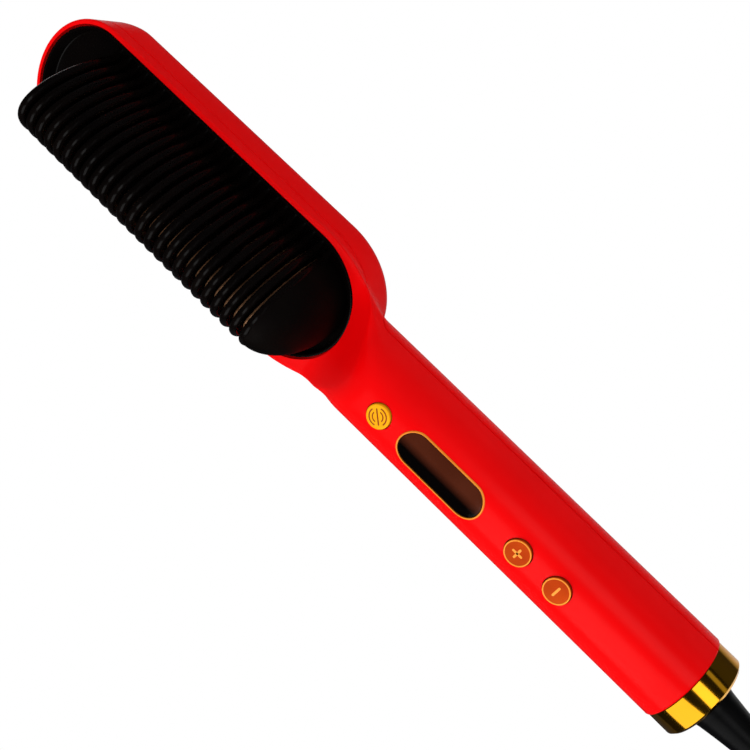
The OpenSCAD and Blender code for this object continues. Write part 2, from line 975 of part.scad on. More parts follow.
// Places ring number i: a run out, the far bend, a run back, the near bend.
function coil_point(i) =
  let (
    j = (i + coil_rings - entry_rings) % coil_rings,
    w = hank_side(i),
    z = lay_z + turn_step * hank_level(i),
    far = 90 - 180 * (j - run_rings) / arc_rings,
    near = 270 - 180 * (j - 2 * run_rings - arc_rings) / arc_rings
  )
  j <= run_rings ? [hank_from + hank_run * j / run_rings, w, z]
  : j <= run_rings + arc_rings ? [hank_from + hank_run + w * cos(far), w * sin(far), z]
  : j <= 2 * run_rings + arc_rings
    ? [hank_from + hank_run * (2 * run_rings + arc_rings - j) / run_rings, -w, z]
  : [hank_from + w * cos(near), w * sin(near), z];
coil_way = [for (i = [0 : coil_count]) coil_point(i)];
entry = 90 + 180 * entry_rings / arc_rings;
coil_in = [sin(entry), -cos(entry), 0];
coil_out = [1, 0, 0];
coil_points = concat([coil_way[0] - cord_d * coil_in], coil_way, [coil_way[coil_count] + cord_d * coil_out]);
coil_gap = min([for (i = [0 : coil_count - coil_rings / 2]) for (j = [i + coil_rings / 2 : coil_count])
  norm(coil_way[i] - coil_way[j])]) - cord_d;
echo(coil_least_gap = coil_gap);
function steps_of(p) = [for (i = [1 : len(p) - 1]) norm(p[i] - p[i - 1])];
function way_length(p) = let (steps = steps_of(p)) steps * [for (x = steps) 1];

// Lead from the boot down to the surface and into the hank, points chosen by hand.
lead_drop = back_drop - lay_z;
lead_way = concat(
  [for (p = [[0, 0, 0], [8, 0, 0], [19, 0.1, 0.106], [30, 1.5, 0.38], [41, 4.6, 0.705], [50, 8.4, 0.912]])
    [boot_end + p.x, p.y, back_drop - lead_drop * p.z]],
  [coil_points[0] - cord_d * coil_in, coil_points[0]]
);
// Tail from the top of the hank down to the plug, points chosen by hand.
coil_end = coil_points[len(coil_points) - 1];
plug_root = [coil_end.x + 73, coil_end.y - 9, plug_t / 2];
tail_drop = coil_end.z - plug_root.z;
tail_way = concat(
  [coil_end],
  [for (p = [[5, 0, 0], [16, -0.3, 0.076], [27, -1.6, 0.28], [38, -4, 0.55], [49, -6.6, 0.806],
      [59, -8.4, 0.96], [67, -9, 1]])
    coil_end + [p.x, p.y, -tail_drop * p.z]],
  [plug_root]
);
echo(cord_length = way_length(lead_way) + way_length(coil_points) + way_length(tail_way));

module cord_lead() {
  color([0.05, 0.05, 0.055])
    lay_out()
      tube(lead_way, cord_d / 2, 8);
}

module cord_coil() {
  color([0.05, 0.05, 0.055])
    lay_out()
      tube(coil_points, cord_d / 2, 6);
}

module cord_tail() {
  color([0.05, 0.05, 0.055])
    lay_out()
      tube(tail_way, cord_d / 2, 8);
}

// Band round the middle of the hank, with room for the cord inside it.
module cord_tie() {
  half = hank_half + cord_d / 2 + 0.4;
  high = lay_z + (hank_layers - 1) * turn_step + cord_d / 2 + 0.2;
  color([0.09, 0.09, 0.1])
    lay_out()
      along_x(hank_from + (hank_run - tie_w) / 2, hank_from + (hank_run + tie_w) / 2)
        difference() {
          translate([-half - tie_t, 0])
            square([2 * (half + tie_t), high + tie_t]);
          translate([-half, tie_t])
            square([2 * half, high - tie_t]);
        }
}

// Puts the plug's pieces at the end of the tail, pointing away from the coil.
module at_plug() {
  lay_out()
    translate(plug_root)
      children();
}

module plug_body() {
  color([0.05, 0.05, 0.055])
    at_plug() {
      cone_x(0, plug_relief + 1, cord_d / 2 + 0.8, cord_d / 2 + 2);
      translate([plug_relief, 0, 0])
        rotate([90, 0, 90])
          linear_extrude(plug_len)
            racetrack(plug_w, plug_t);
    }
}

module plug_pins() {
  color([0.8, 0.8, 0.82])
    at_plug()
      for (y = [-1, 1])
        translate([0, y * pin_gap / 2, 0]) {
          cone_x(plug_relief + plug_len, plug_relief + plug_len + pin_len - 1, pin_r, pin_r);
          cone_x(plug_relief + plug_len + pin_len - 1, plug_relief + plug_len + pin_len, pin_r, pin_r - 1);
        }
}

front_housing();
rear_housing();
comb_guard();
heater_comb();
heating_plate(-1);  // heating_plate_1
heating_plate(1);  // heating_plate_2
insulation_sheet();
clamp_plate();
heat_shield();
temperature_sensor();
thermal_fuse();
heater_leads();
sensor_lead();
control_board();
driver_chip();
relay();
capacitor();
display_module();
display_lens();
display_bezel();
tact_switch(power_at);  // power_switch
tact_switch(plus_at);  // plus_switch
tact_switch(minus_at);  // minus_switch
plunger(power_at);  // power_plunger
plunger(plus_at);  // plus_plunger
plunger(minus_at);  // minus_plunger
power_button();
plus_button();
minus_button();
handle_screws();
head_screws();
guard_screws();
clamp_screws();
board_screws();
end_ring();
swivel_carrier();
contact_springs();
mains_leads();
swivel_core();
contact_rings();
cord_boot();
cord_lead();
cord_coil();
cord_tail();
cord_tie();
plug_body();
plug_pins();
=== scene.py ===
import json
import math

import bmesh
import bpy
import numpy as np
from mathutils import Matrix, Vector


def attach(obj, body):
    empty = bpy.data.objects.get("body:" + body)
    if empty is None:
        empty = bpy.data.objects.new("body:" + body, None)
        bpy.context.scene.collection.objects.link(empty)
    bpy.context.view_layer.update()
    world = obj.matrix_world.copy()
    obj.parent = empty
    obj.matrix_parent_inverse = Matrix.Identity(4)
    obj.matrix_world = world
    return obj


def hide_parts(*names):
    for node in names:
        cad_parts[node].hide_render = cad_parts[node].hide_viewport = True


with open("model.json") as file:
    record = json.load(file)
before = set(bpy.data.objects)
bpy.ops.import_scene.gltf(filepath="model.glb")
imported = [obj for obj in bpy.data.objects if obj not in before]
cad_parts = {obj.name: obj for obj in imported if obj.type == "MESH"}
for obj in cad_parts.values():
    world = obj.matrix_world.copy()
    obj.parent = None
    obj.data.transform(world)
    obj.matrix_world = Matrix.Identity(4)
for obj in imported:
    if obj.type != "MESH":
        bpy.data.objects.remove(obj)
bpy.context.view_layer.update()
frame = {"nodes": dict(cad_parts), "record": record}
mm = 0.001

# The drawing frame: s along the part from the head's tip, y across, z above the handle's axis, in mm.
body = {"length": 328.3, "axis": 24.6}


def point(s, y, z):
    return ((s - body["length"] / 2) * mm, y * mm, (z + body["axis"]) * mm)


# Camera, fitted to the photograph.
camera = {
    "place": (0.04878, 0.14323, 0.2758),
    "right": (0.706, 0.5448, -0.4525),
    "back": (0.1737, 0.4862, 0.8564),
    "lens": 45.2,
    "sensor": 36.0,
}


def makeCamera(c):
    data = bpy.data.cameras.new("camera")
    data.lens = c["lens"]
    data.sensor_width = c["sensor"]
    data.clip_start = 0.01
    data.clip_end = 20
    cam = bpy.data.objects.new("camera", data)
    bpy.context.scene.collection.objects.link(cam)
    back = Vector(c["back"]).normalized()
    right = (Vector(c["right"]) - Vector(c["right"]).dot(back) * back).normalized()
    turn = Matrix((right, back.cross(right), back)).transposed().to_4x4()
    cam.matrix_world = Matrix.Translation(Vector(c["place"])) @ turn
    bpy.context.scene.camera = cam


makeCamera(camera)
bpy.context.scene.view_settings.view_transform = "Standard"
print("camera made")


# Materials. Every one varies a little over the surface by object coordinates.
def shaderOf(name):
    mat = bpy.data.materials.new(name)
    mat.use_nodes = True
    tree = mat.node_tree
    return mat, tree, tree.nodes["Principled BSDF"]


def noiseOf(tree, coords, scale, detail=2.0, stretch=None):
    noise = tree.nodes.new("ShaderNodeTexNoise")
    noise.inputs["Scale"].default_value = scale
    noise.inputs["Detail"].default_value = detail
    source = coords.outputs["Object"]
    if stretch:
        mapping = tree.nodes.new("ShaderNodeMapping")
        mapping.inputs["Scale"].default_value = stretch
        tree.links.new(source, mapping.inputs["Vector"])
        source = mapping.outputs["Vector"]
    tree.links.new(source, noise.inputs["Vector"])
    return noise


def paintedReflectionHalf(tree, coords, ramp, m):
    # Painted reflection: darkens the half of the piece on the -Y side, with a soft edge along the handle's
    # axis.
    split = tree.nodes.new("ShaderNodeSeparateXYZ")
    tree.links.new(coords.outputs["Object"], split.inputs["Vector"])
    across = tree.nodes.new("ShaderNodeMapRange")
    across.inputs["From Min"].default_value = m["left"][0]
    across.inputs["From Max"].default_value = m["left"][1]
    tree.links.new(split.outputs["Y"], across.inputs["Value"])
    mix = tree.nodes.new("ShaderNodeMixRGB")
    mix.inputs["Color1"].default_value = (*m["leftColour"], 1)
    tree.links.new(across.outputs["Result"], mix.inputs["Fac"])
    tree.links.new(ramp.outputs["Color"], mix.inputs["Color2"])
    return mix


# One finish from its values: colour and its second shade, roughness and its spread, grain.
def makeMaterial(name, m):
    mat, tree, shader = shaderOf(name)
    coords = tree.nodes.new("ShaderNodeTexCoord")
    shader.inputs["Metallic"].default_value = m.get("metal", 0.0)
    shader.inputs["Specular IOR Level"].default_value = m.get("shine", 0.5)
    shader.inputs["Coat Weight"].default_value = m.get("coat", 0.0)
    shader.inputs["Coat Roughness"].default_value = m.get("coatRough", 0.05)
    shader.inputs["Alpha"].default_value = m.get("alpha", 1.0)
    cloud = noiseOf(tree, coords, m.get("cloudScale", 60), 3.0, m.get("stretch"))
    ramp = tree.nodes.new("ShaderNodeValToRGB")
    ramp.color_ramp.elements[0].position = 0.35
    ramp.color_ramp.elements[1].position = 0.65
    ramp.color_ramp.elements[0].color = (*m["colour"], 1)
    ramp.color_ramp.elements[1].color = (*m.get("shade", m["colour"]), 1)
    tree.links.new(cloud.outputs["Fac"], ramp.inputs["Fac"])
    # Finishes with a split get a painted reflection, darker on the -Y half.
    paint = paintedReflectionHalf(tree, coords, ramp, m) if "left" in m else ramp
    tree.links.new(paint.outputs["Color"], shader.inputs["Base Color"])
    grain = noiseOf(tree, coords, m.get("grainScale", 1500), 2.0, m.get("stretch"))
    spread = tree.nodes.new("ShaderNodeMapRange")
    spread.inputs["To Min"].default_value = m["rough"][0]
    spread.inputs["To Max"].default_value = m["rough"][1]
    tree.links.new(grain.outputs["Fac"], spread.inputs["Value"])
    tree.links.new(spread.outputs["Result"], shader.inputs["Roughness"])
    bump = tree.nodes.new("ShaderNodeBump")
    bump.inputs["Strength"].default_value = m.get("bump", 0.05)
    bump.inputs["Distance"].default_value = m.get("depth", 0.00005)
    tree.links.new(grain.outputs["Fac"], bump.inputs["Height"])
    tree.links.new(bump.outputs["Normal"], shader.inputs["Normal"])
    return mat


finishes = {
    "red_shell": {"colour": (0.86, 0.0008, 0.0018), "shade": (0.81, 0.0006, 0.0015), "rough": (0.2, 0.26),
                  "shine": 0.075, "bump": 0.02, "cloudScale": 40},
    "black_guard": {"colour": (0.002, 0.0013, 0.0012), "shade": (0.003, 0.0018, 0.0015),
                    "rough": (0.22, 0.32), "shine": 0.1, "coat": 0.1, "coatRough": 0.08, "bump": 0.06,
                    "cloudScale": 80},
    "black_block": {"colour": (0.0025, 0.0017, 0.0015), "shade": (0.004, 0.0025, 0.002),
                    "rough": (0.5, 0.6), "shine": 0.04, "bump": 0.05, "cloudScale": 80},
    # Heating fins: the bright warm second shade, scattered by noise over dark metal, is a painted glint.
    "heater_metal": {"colour": (0.015, 0.006, 0.003), "shade": (0.6, 0.3, 0.15), "rough": (0.16, 0.28),
                     "metal": 0.55, "cloudScale": 45, "bump": 0.1},
    "ceramic": {"colour": (0.85, 0.85, 0.8), "shade": (0.8, 0.79, 0.74), "rough": (0.5, 0.65)},
    "insulation": {"colour": (0.6, 0.5, 0.3), "shade": (0.5, 0.41, 0.25), "rough": (0.5, 0.7), "bump": 0.2},
    "steel": {"colour": (0.6, 0.61, 0.63), "shade": (0.5, 0.51, 0.53), "rough": (0.25, 0.4), "metal": 1.0,
              "stretch": (0.1, 1, 1)},
    "dark_plastic": {"colour": (0.02, 0.02, 0.022), "shade": (0.03, 0.03, 0.032), "rough": (0.4, 0.5)},
    "tinned_metal": {"colour": (0.75, 0.73, 0.68), "shade": (0.65, 0.63, 0.6), "rough": (0.3, 0.4),
                     "metal": 1.0},
    "lead_sleeve": {"colour": (0.8, 0.8, 0.77), "shade": (0.7, 0.7, 0.68), "rough": (0.6, 0.8),
                    "bump": 0.3},
    "board_green": {"colour": (0.01, 0.13, 0.05), "shade": (0.01, 0.1, 0.04), "rough": (0.3, 0.4),
                    "cloudScale": 700},
    "relay_blue": {"colour": (0.02, 0.06, 0.3), "shade": (0.02, 0.05, 0.25), "rough": (0.3, 0.4)},
    # Display lens: smoked glass; its brown +Y half and near-black -Y half are a painted reflection.
    "smoked_lens": {"colour": (0.085, 0.018, 0.008), "shade": (0.07, 0.014, 0.006), "rough": (0.05, 0.08),
                    "shine": 0.12, "bump": 0.0, "alpha": 0.9, "left": (-0.0014, 0.0016),
                    "leftColour": (0.0015, 0.001, 0.001)},
    "bezel_gold": {"colour": (1.0, 0.34, 0.03), "shade": (0.97, 0.28, 0.02), "rough": (0.2, 0.28),
                   "metal": 0.2, "bump": 0.03},
    "pale_plastic": {"colour": (0.75, 0.73, 0.66), "shade": (0.7, 0.68, 0.62), "rough": (0.4, 0.5)},
    "button_gold": {"colour": (1.0, 0.5, 0.008), "shade": (1.0, 0.42, 0.006), "rough": (0.28, 0.38),
                    "metal": 0.2, "shine": 0.1, "bump": 0.12, "grainScale": 2500},
    "button_bronze": {"colour": (0.6, 0.07, 0.004), "shade": (0.42, 0.035, 0.002), "rough": (0.3, 0.42),
                      "metal": 0.25, "shine": 0.05, "bump": 0.2, "grainScale": 2500},
    "screw_steel": {"colour": (0.1, 0.1, 0.11), "shade": (0.14, 0.14, 0.15), "rough": (0.3, 0.45),
                    "metal": 1.0},
    "polished_gold": {"colour": (1.0, 0.49, 0.02), "shade": (1.0, 0.46, 0.018), "rough": (0.09, 0.13),
                      "metal": 1.0, "bump": 0.004},
    "contact_brass": {"colour": (0.8, 0.5, 0.2), "shade": (0.7, 0.42, 0.16), "rough": (0.2, 0.35),
                      "metal": 1.0},
    "boot_rubber": {"colour": (0.0015, 0.0015, 0.0017), "shade": (0.0022, 0.0022, 0.0025),
                    "rough": (0.3, 0.4), "shine": 0.1, "bump": 0.05},
    "cord_rubber": {"colour": (0.006, 0.006, 0.0065), "shade": (0.009, 0.009, 0.01), "rough": (0.42, 0.55),
                    "bump": 0.15},
    "tie_fabric": {"colour": (0.01, 0.01, 0.011), "shade": (0.02, 0.02, 0.022), "rough": (0.8, 0.95),
                   "bump": 0.8, "depth": 0.0003, "cloudScale": 3000},
    "plug_plastic": {"colour": (0.006, 0.006, 0.0065), "shade": (0.008, 0.008, 0.009), "rough": (0.38, 0.5),
                     "bump": 0.15},
    "pin_metal": {"colour": (0.75, 0.75, 0.77), "shade": (0.68, 0.68, 0.7), "rough": (0.12, 0.2),
                  "metal": 1.0},
    "mark_brown": {"colour": (0.45, 0.06, 0.003), "shade": (0.38, 0.045, 0.002), "rough": (0.35, 0.5),
                   "metal": 0.5},
    "mark_gold": {"colour": (1.0, 0.36, 0.03), "shade": (0.98, 0.3, 0.02), "rough": (0.2, 0.3),
                  "metal": 0.2},
}
mats = {name: makeMaterial(name, values) for name, values in finishes.items()}
print("materials made")


# Pieces
def finishPiece(name, mesh, slot, rider, replaced=(), finish=None, sharp=35):
    ob = bpy.data.objects.new(name, mesh)
    bpy.context.scene.collection.objects.link(ob)
    mesh.materials.clear()
    mesh.materials.append(mats[finish or slot])
    mesh.shade_smooth()
    mesh.set_sharp_from_angle(angle=math.radians(sharp))
    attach(ob, rider)
    if replaced:
        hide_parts(*replaced)
    return ob


def meshOf(name, verts, faces, weld=True):
    mesh = bpy.data.meshes.new(name)
    bm = bmesh.new()
    made = [bm.verts.new(point(*v)) for v in verts]
    for f in faces:
        if len(set(f)) >= 3:
            bm.faces.new([made[i] for i in f])
    if weld:
        bmesh.ops.remove_doubles(bm, verts=bm.verts, dist=1e-6)
        bmesh.ops.dissolve_degenerate(bm, edges=bm.edges, dist=1e-7)
    bmesh.ops.recalc_face_normals(bm, faces=bm.faces)
    bm.to_mesh(mesh)
    bm.free()
    return mesh


# Turns a profile of (s, radius) round the handle's axis. Radius 0 at an end closes it.
def revolve(name, profile, steps=96, centre=(0.0, 0.0)):
    verts, faces = [], []
    for s, r in profile:
        for k in range(steps):
            a = 2 * math.pi * k / steps
            verts.append((s, centre[0] + r * math.sin(a), centre[1] + r * math.cos(a)))
    for i in range(len(profile) - 1):
        for k in range(steps):
            n = (k + 1) % steps
            faces.append((i * steps + k, i * steps + n, (i + 1) * steps + n, (i + 1) * steps + k))
    return meshOf(name, verts, faces)


# Turns a profile of (radius, height) round an upright line at station `at`.
def standing(name, at, profile, steps=72):
    verts, faces = [], []
    for r, z in profile:
        for k in range(steps):
            a = 2 * math.pi * k / steps
            verts.append((at + r * math.cos(a), r * math.sin(a), z))
    for i in range(len(profile) - 1):
        for k in range(steps):
            n = (k + 1) % steps
            faces.append((i * steps + k, i * steps + n, (i + 1) * steps + n, (i + 1) * steps + k))
    return meshOf(name, verts, faces)


# Cord: out of the boot, down to the surface, into the hank, and out to the plug, as in part.scad.
cord = {"diameter": 6.0, "half": 24.8, "run": 50.0, "turns": 6, "layers": 6, "step": 6.6, "lay": 3.8,
        "from": 83.4}


def cordRoute(c):
    end, axis, lay = body["length"], body["axis"], c["lay"]
    rings, run, arc, entry = 24, 2, 10, 2
    count = rings * c["turns"] + entry + run
    layer = count / rings / c["layers"]
    start = end + c["from"]

    def ease(x):
        x = min(1.0, max(0.0, x))
        return x * x * (3 - 2 * x)

    def hank(i):
        t = i / rings
        u = t / layer / 2
        w = c["half"] - c["step"] * layer * (1 - abs(u - math.floor(u) - 0.5) * 2)
        z = lay + c["step"] * sum(ease((t - k * layer + 0.25) / 0.5) for k in range(1, c["layers"]))
        j = (i + rings - entry) % rings
        if j <= run:
            return Vector((start + c["run"] * j / run, w, z))
        if j <= run + arc:
            a = math.radians(90 - 180 * (j - run) / arc)
            return Vector((start + c["run"] + w * math.cos(a), w * math.sin(a), z))
        if j <= 2 * run + arc:
            return Vector((start + c["run"] * (2 * run + arc - j) / run, -w, z))
        a = math.radians(270 - 180 * (j - 2 * run - arc) / arc)
        return Vector((start + w * math.cos(a), w * math.sin(a), z))

    way = [hank(i) for i in range(count + 1)]
    a = math.radians(90 + 180 * entry / arc)
    into = Vector((math.sin(a), -math.cos(a), 0))
    lead = [(0, 0, 0), (8, 0, 0), (19, 0.1, 0.106), (30, 1.5, 0.38), (41, 4.6, 0.705), (50, 8.4, 0.912)]
    lead = [Vector((end + x, y, axis - (axis - lay) * k)) for x, y, k in lead]
    last = way[-1] + c["diameter"] * Vector((1, 0, 0))
    root = Vector((last.x + 73, last.y - 9, plug["thick"] / 2))
    drop = last.z - root.z
    tail = [(5, 0, 0), (16, -0.3, 0.076), (27, -1.6, 0.28), (38, -4, 0.55), (49, -6.6, 0.806),
            (59, -8.4, 0.96), (67, -9, 1)]
    tail = [last + Vector((x, y, -drop * k)) for x, y, k in tail]
    entering = [way[0] - 2 * c["diameter"] * into, way[0] - c["diameter"] * into]
    return lead + entering + way + [last] + tail + [root], root


plug = {"thick": 13.6, "length": 28.0, "relief": 9.0, "pin": 2.0, "pinLength": 19.0, "pinGap": 18.6}
route, plugRoot = cordRoute(cord)


# A Catmull-Rom line through the points, resampled evenly.
def smoothRoute(points, spacing):
    fine = []
    for i in range(len(points) - 1):
        p0 = points[max(i - 1, 0)]
        p1, p2 = points[i], points[i + 1]
        p3 = points[min(i + 2, len(points) - 1)]
        for k in range(8):
            t = k / 8
            fine.append(0.5 * ((2 * p1) + (p2 - p0) * t + (2 * p0 - 5 * p1 + 4 * p2 - p3) * t * t
                               + (3 * p1 - p0 - 3 * p2 + p3) * t ** 3))
    fine.append(points[-1])
    lengths = np.concatenate([[0], np.cumsum([(fine[i + 1] - fine[i]).length for i in range(len(fine) - 1)])])
    count = max(8, round(lengths[-1] / spacing))
    arr = np.array([tuple(v) for v in fine])
    at = np.linspace(0, lengths[-1], count)
    even = [Vector([float(np.interp(a, lengths, arr[:, k])) for k in range(3)]) for a in at]
    return even, float(lengths[-1])


def tubeMesh(name, points, radius, sides):
    verts, faces = [], []
    up = Vector((0, 0, 1))
    for i, p in enumerate(points):
        t = (points[min(i + 1, len(points) - 1)] - points[max(i - 1, 0)]).normalized()
        u = up.cross(t).normalized()
        v = t.cross(u)
        for k in range(sides):
            a = 2 * math.pi * k / sides
            q = p + radius * (math.cos(a) * u + math.sin(a) * v)
            verts.append((q.x, q.y, q.z - body["axis"]))
    for i in range(len(points) - 1):
        for k in range(sides):
            n = (k + 1) % sides
            faces.append((i * sides + k, i * sides + n, (i + 1) * sides + n, (i + 1) * sides + k))
    faces.append(tuple(range(sides)))
    faces.append(tuple((len(points) - 1) * sides + k for k in range(sides)))
    return meshOf(name, verts, faces, weld=False)


# A rounded rectangle about the origin, counter-clockwise.
def rounded(width, height, radius, steps=6):
    pts = []
    for cx, cy, a0 in ((1, 1, 0), (-1, 1, 90), (-1, -1, 180), (1, -1, 270)):
        for k in range(steps + 1):
            a = math.radians(a0 + 90 * k / steps)
            pts.append((cx * (width / 2 - radius) + radius * math.cos(a),
                        cy * (height / 2 - radius) + radius * math.sin(a)))
    return pts


def plugPoint(x, y, z):
    q = plugRoot + Vector((x, y, 0))
    return (q.x, q.y, q.z + z - body["axis"])


# Joins closed sections of equal count, and closes both ends.
def loft(name, sections, place):
    verts, faces = [], []
    count = len(sections[0][1])
    for x, pts in sections:
        verts += [place(x, y, z) for y, z in pts]
    for i in range(len(sections) - 1):
        for k in range(count):
            n = (k + 1) % count
            faces.append((i * count + k, i * count + n, (i + 1) * count + n, (i + 1) * count + k))
    faces.append(tuple(range(count)))
    faces.append(tuple((len(sections) - 1) * count + k for k in range(count)))
    return meshOf(name, verts, faces, weld=False)


# The plug's sections as (distance, width, thickness): a round relief that widens into a flat body.
def plugSections():
    sizes = [(0, 7.6, 7.6), (1, 7.8, 7.8), (6, 8.4, 8.2), (8, 9.4, 8.8), (9.2, 12.5, 9.8), (10.2, 17, 11),
             (12, 21.5, 12.2), (15, 24, 12.9), (19, 25.4, 13.3), (25, 25.8, 13.5), (31, 25.8, 13.5),
             (35.8, 25.4, 13.3), (36.7, 24.6, 12.6), (37, 23.4, 11.4)]
    return [(x, rounded(w, t, min(w, t) / 2 - 0.02 if w < 9 else min(w, t) * 0.46, 8)) for x, w, t in sizes]


def makeCord():
    fine, length = smoothRoute(route, 2.0)
    mesh = tubeMesh("mainsCord", fine, cord["diameter"] / 2, 20)
    drawn = ("cord_lead", "cord_coil", "cord_tail")
    flex = finishPiece("mainsCord", mesh, "cord_rubber", "handle", drawn, sharp=60)
    head = finishPiece("plugBody", loft("plugBody", plugSections(), plugPoint), "plug_plastic", "handle",
                       ("plug_body",), sharp=50)
    pins = []
    pin, face = plug["pin"], plug["relief"] + plug["length"]
    x0, x1 = face - 0.5, face + plug["pinLength"]
    for side in (-1, 1):
        sections = []
        for x, r in ((x0, pin), (x1 - 1, pin), (x1 - 0.5, pin - 0.15), (x1 - 0.15, pin - 0.5),
                     (x1, pin - 0.95)):
            pts = [(side * plug["pinGap"] / 2 + r * math.cos(a), r * math.sin(a))
                   for a in np.linspace(0, 2 * math.pi, 33)[:-1]]
            sections.append((x, pts))
        pins.append(loft("pin", sections, plugPoint))
    bm = bmesh.new()
    for m in pins:
        bm.from_mesh(m)
    joined = bpy.data.meshes.new("plugPins")
    bm.to_mesh(joined)
    bm.free()
    metal = finishPiece("plugPins", joined, "pin_metal", "handle", ("plug_pins",), sharp=50)
    path = [point(v.x, v.y, v.z - body["axis"]) for v in fine]
    print("cord made,", round(length), "mm")
    return flex, path, length * mm, [head, metal]


flex, flexPath, flexLength, flexEnds = makeCord()


# Shells: one smooth outer form, solved along rays from the axis, split at the parting line.
shell = {
    "half": 24.1, "length": 150.2, "tip": 22.6, "neck": 28.6, "rim": -1.8, "drop": 24.6,
    "recessEnd": 145.5, "wall": 1.8, "seam": 1.0, "headSeam": -7.4, "seamRamp": 10.0, "seamGap": 0.34,
    "edge": 7.0, "tipEdge": 11.0, "fillet": (4.0, 12.0), "scoopLength": 30.0, "scoopLead": 5.0,
    "scoopHeight": 20.5, "scoopRound": 5.0, "rimRound": 0.6, "r": 15.5, "rEnd": 14.95, "end": 288.1,
    "rimWidth": 2.1, "neckWeb": 4.7,
}
comb = {
    "first": 24.0, "pitch": 4.19, "count": 25, "lean": 9.0, "half": 16.24, "rise": 43.6, "dip": 3.0,
    "floor": -6.9, "blade": 1.3, "beadDepth": 2.4, "flare": 5.0, "nose": 17.0, "hotDrop": 3.6, "hot": 1.0,
    "fit": 0.1,
}


def handleRadius(s):
    c = shell
    return c["r"] - (c["r"] - c["rEnd"]) * (s - c["recessEnd"]) / (c["end"] - c["recessEnd"])


def meet(a, b, r):
    return (np.minimum(np.maximum(a, b) + r, 0) + np.hypot(np.maximum(a + r, 0), np.maximum(b + r, 0)) - r)


def join(a, b, r):
    return np.maximum(r, np.minimum(a, b)) - np.hypot(np.maximum(r - a, 0), np.maximum(r - b, 0))


def eased(x):
    x = np.clip(x, 0, 1)
    return (1 - np.cos(np.pi * x)) / 2


def seamHeight(s):
    c = shell
    return c["headSeam"] + (c["seam"] - c["headSeam"]) * eased((s - c["recessEnd"] - 1) / c["seamRamp"])


def scoopTop(s):
    c = shell
    return c["rim"] + c["scoopHeight"] * eased((s - c["recessEnd"] + c["scoopLead"]) / c["scoopLength"])


# Nearly the signed distance to the shell's outer form, negative inside.
def shellDistance(s, y, z):
    c = shell
    back = c["length"] - c["neck"]
    a = np.where(s < c["tip"], c["tip"], c["neck"])
    x = np.where(s < c["tip"], s - c["tip"], np.where(s > back, s - back, 0.0))
    q = np.sqrt((x / a) ** 2 + (y / c["half"]) ** 2) + 1e-9
    g = np.sqrt((x / a ** 2) ** 2 + (y / c["half"] ** 2) ** 2) + 1e-9
    outline = (q - 1) * q / g
    low = -c["drop"] - z
    edge = c["edge"] + (c["tipEdge"] - c["edge"]) * np.clip(1 - s / 20, 0, 1)
    head = meet(outline, low, edge)
    round_ = np.maximum(np.hypot(y, z) - handleRadius(s), back - s)
    low_, high_ = c["fillet"]
    whole = np.maximum(join(head, round_, low_ + (high_ - low_) * eased((z + 10) / 9)), low)
    k = np.clip((s - c["recessEnd"] - 2) / 8, 0, 1)
    bend = c["rimRound"] + (c["scoopRound"] - c["rimRound"]) * k * k * (3 - 2 * k)
    return meet(whole, z - scoopTop(s), bend)


# The distance along each ray at which f changes sign.
def solve(f, high=60.0):
    lo = np.zeros(f(0).shape)
    hi = np.full(lo.shape, high)
    for _ in range(34):
        mid = (lo + hi) / 2
        inside = f(mid) < 0
        lo = np.where(inside, mid, lo)
        hi = np.where(inside, hi, mid)
    return (lo + hi) / 2


def stationsOf(c):
    t = np.linspace(0.03, np.pi / 2, 30)
    tip = c["tip"] * (1 - np.cos(t))
    return np.concatenate([tip, np.linspace(c["tip"], 120, 9)[1:], np.linspace(120, 172, 78)[1:],
                           np.linspace(172, c["end"] - 0.5, 14)[1:]])


def sideAt(s, z, level):
    return solve(lambda y: shellDistance(s, y, z) - level)


# Rows of (side, height) round half of the section at each station, from one seam to the other.
def ringsOf(s, offset, upper, level):
    centre = seamHeight(s) + offset

    def bearing(z):
        return np.arctan2(sideAt(s, z, level), z - centre)

    seam = bearing(centre)[:, None]
    if upper:
        corner = bearing(np.minimum(scoopTop(s), 9.0) - 0.3 + min(level, 0))[:, None]
        width = 0.035
        lip = bearing(centre + 0.28)[:, None]
        parts = [np.linspace(0, 1, 26)[None, :] * (corner - width),
                 (corner - width) + np.linspace(0, 1, 10)[None, 1:] * (2 * width),
                 (corner + width) + np.linspace(0, 1, 8)[None, 1:] * (lip - corner - width), seam]
    else:
        lip = bearing(centre - 0.28)[:, None]
        parts = [np.pi + np.linspace(0, 1, 50)[None, :] * (lip - np.pi), seam]
    angles = np.concatenate(parts, axis=1)
    stations = np.repeat(s[:, None], angles.shape[1], axis=1)
    middle = centre[:, None]
    reach = solve(lambda r: shellDistance(stations, r * np.sin(angles), middle + r * np.cos(angles)) - level)
    if level == 0:
        reach[:, -1] -= 0.24
    y, z = reach * np.sin(angles), middle + reach * np.cos(angles)
    y = np.concatenate([-y[:, :0:-1], y], axis=1)
    z = np.concatenate([z[:, :0:-1], z], axis=1)
    return y, z


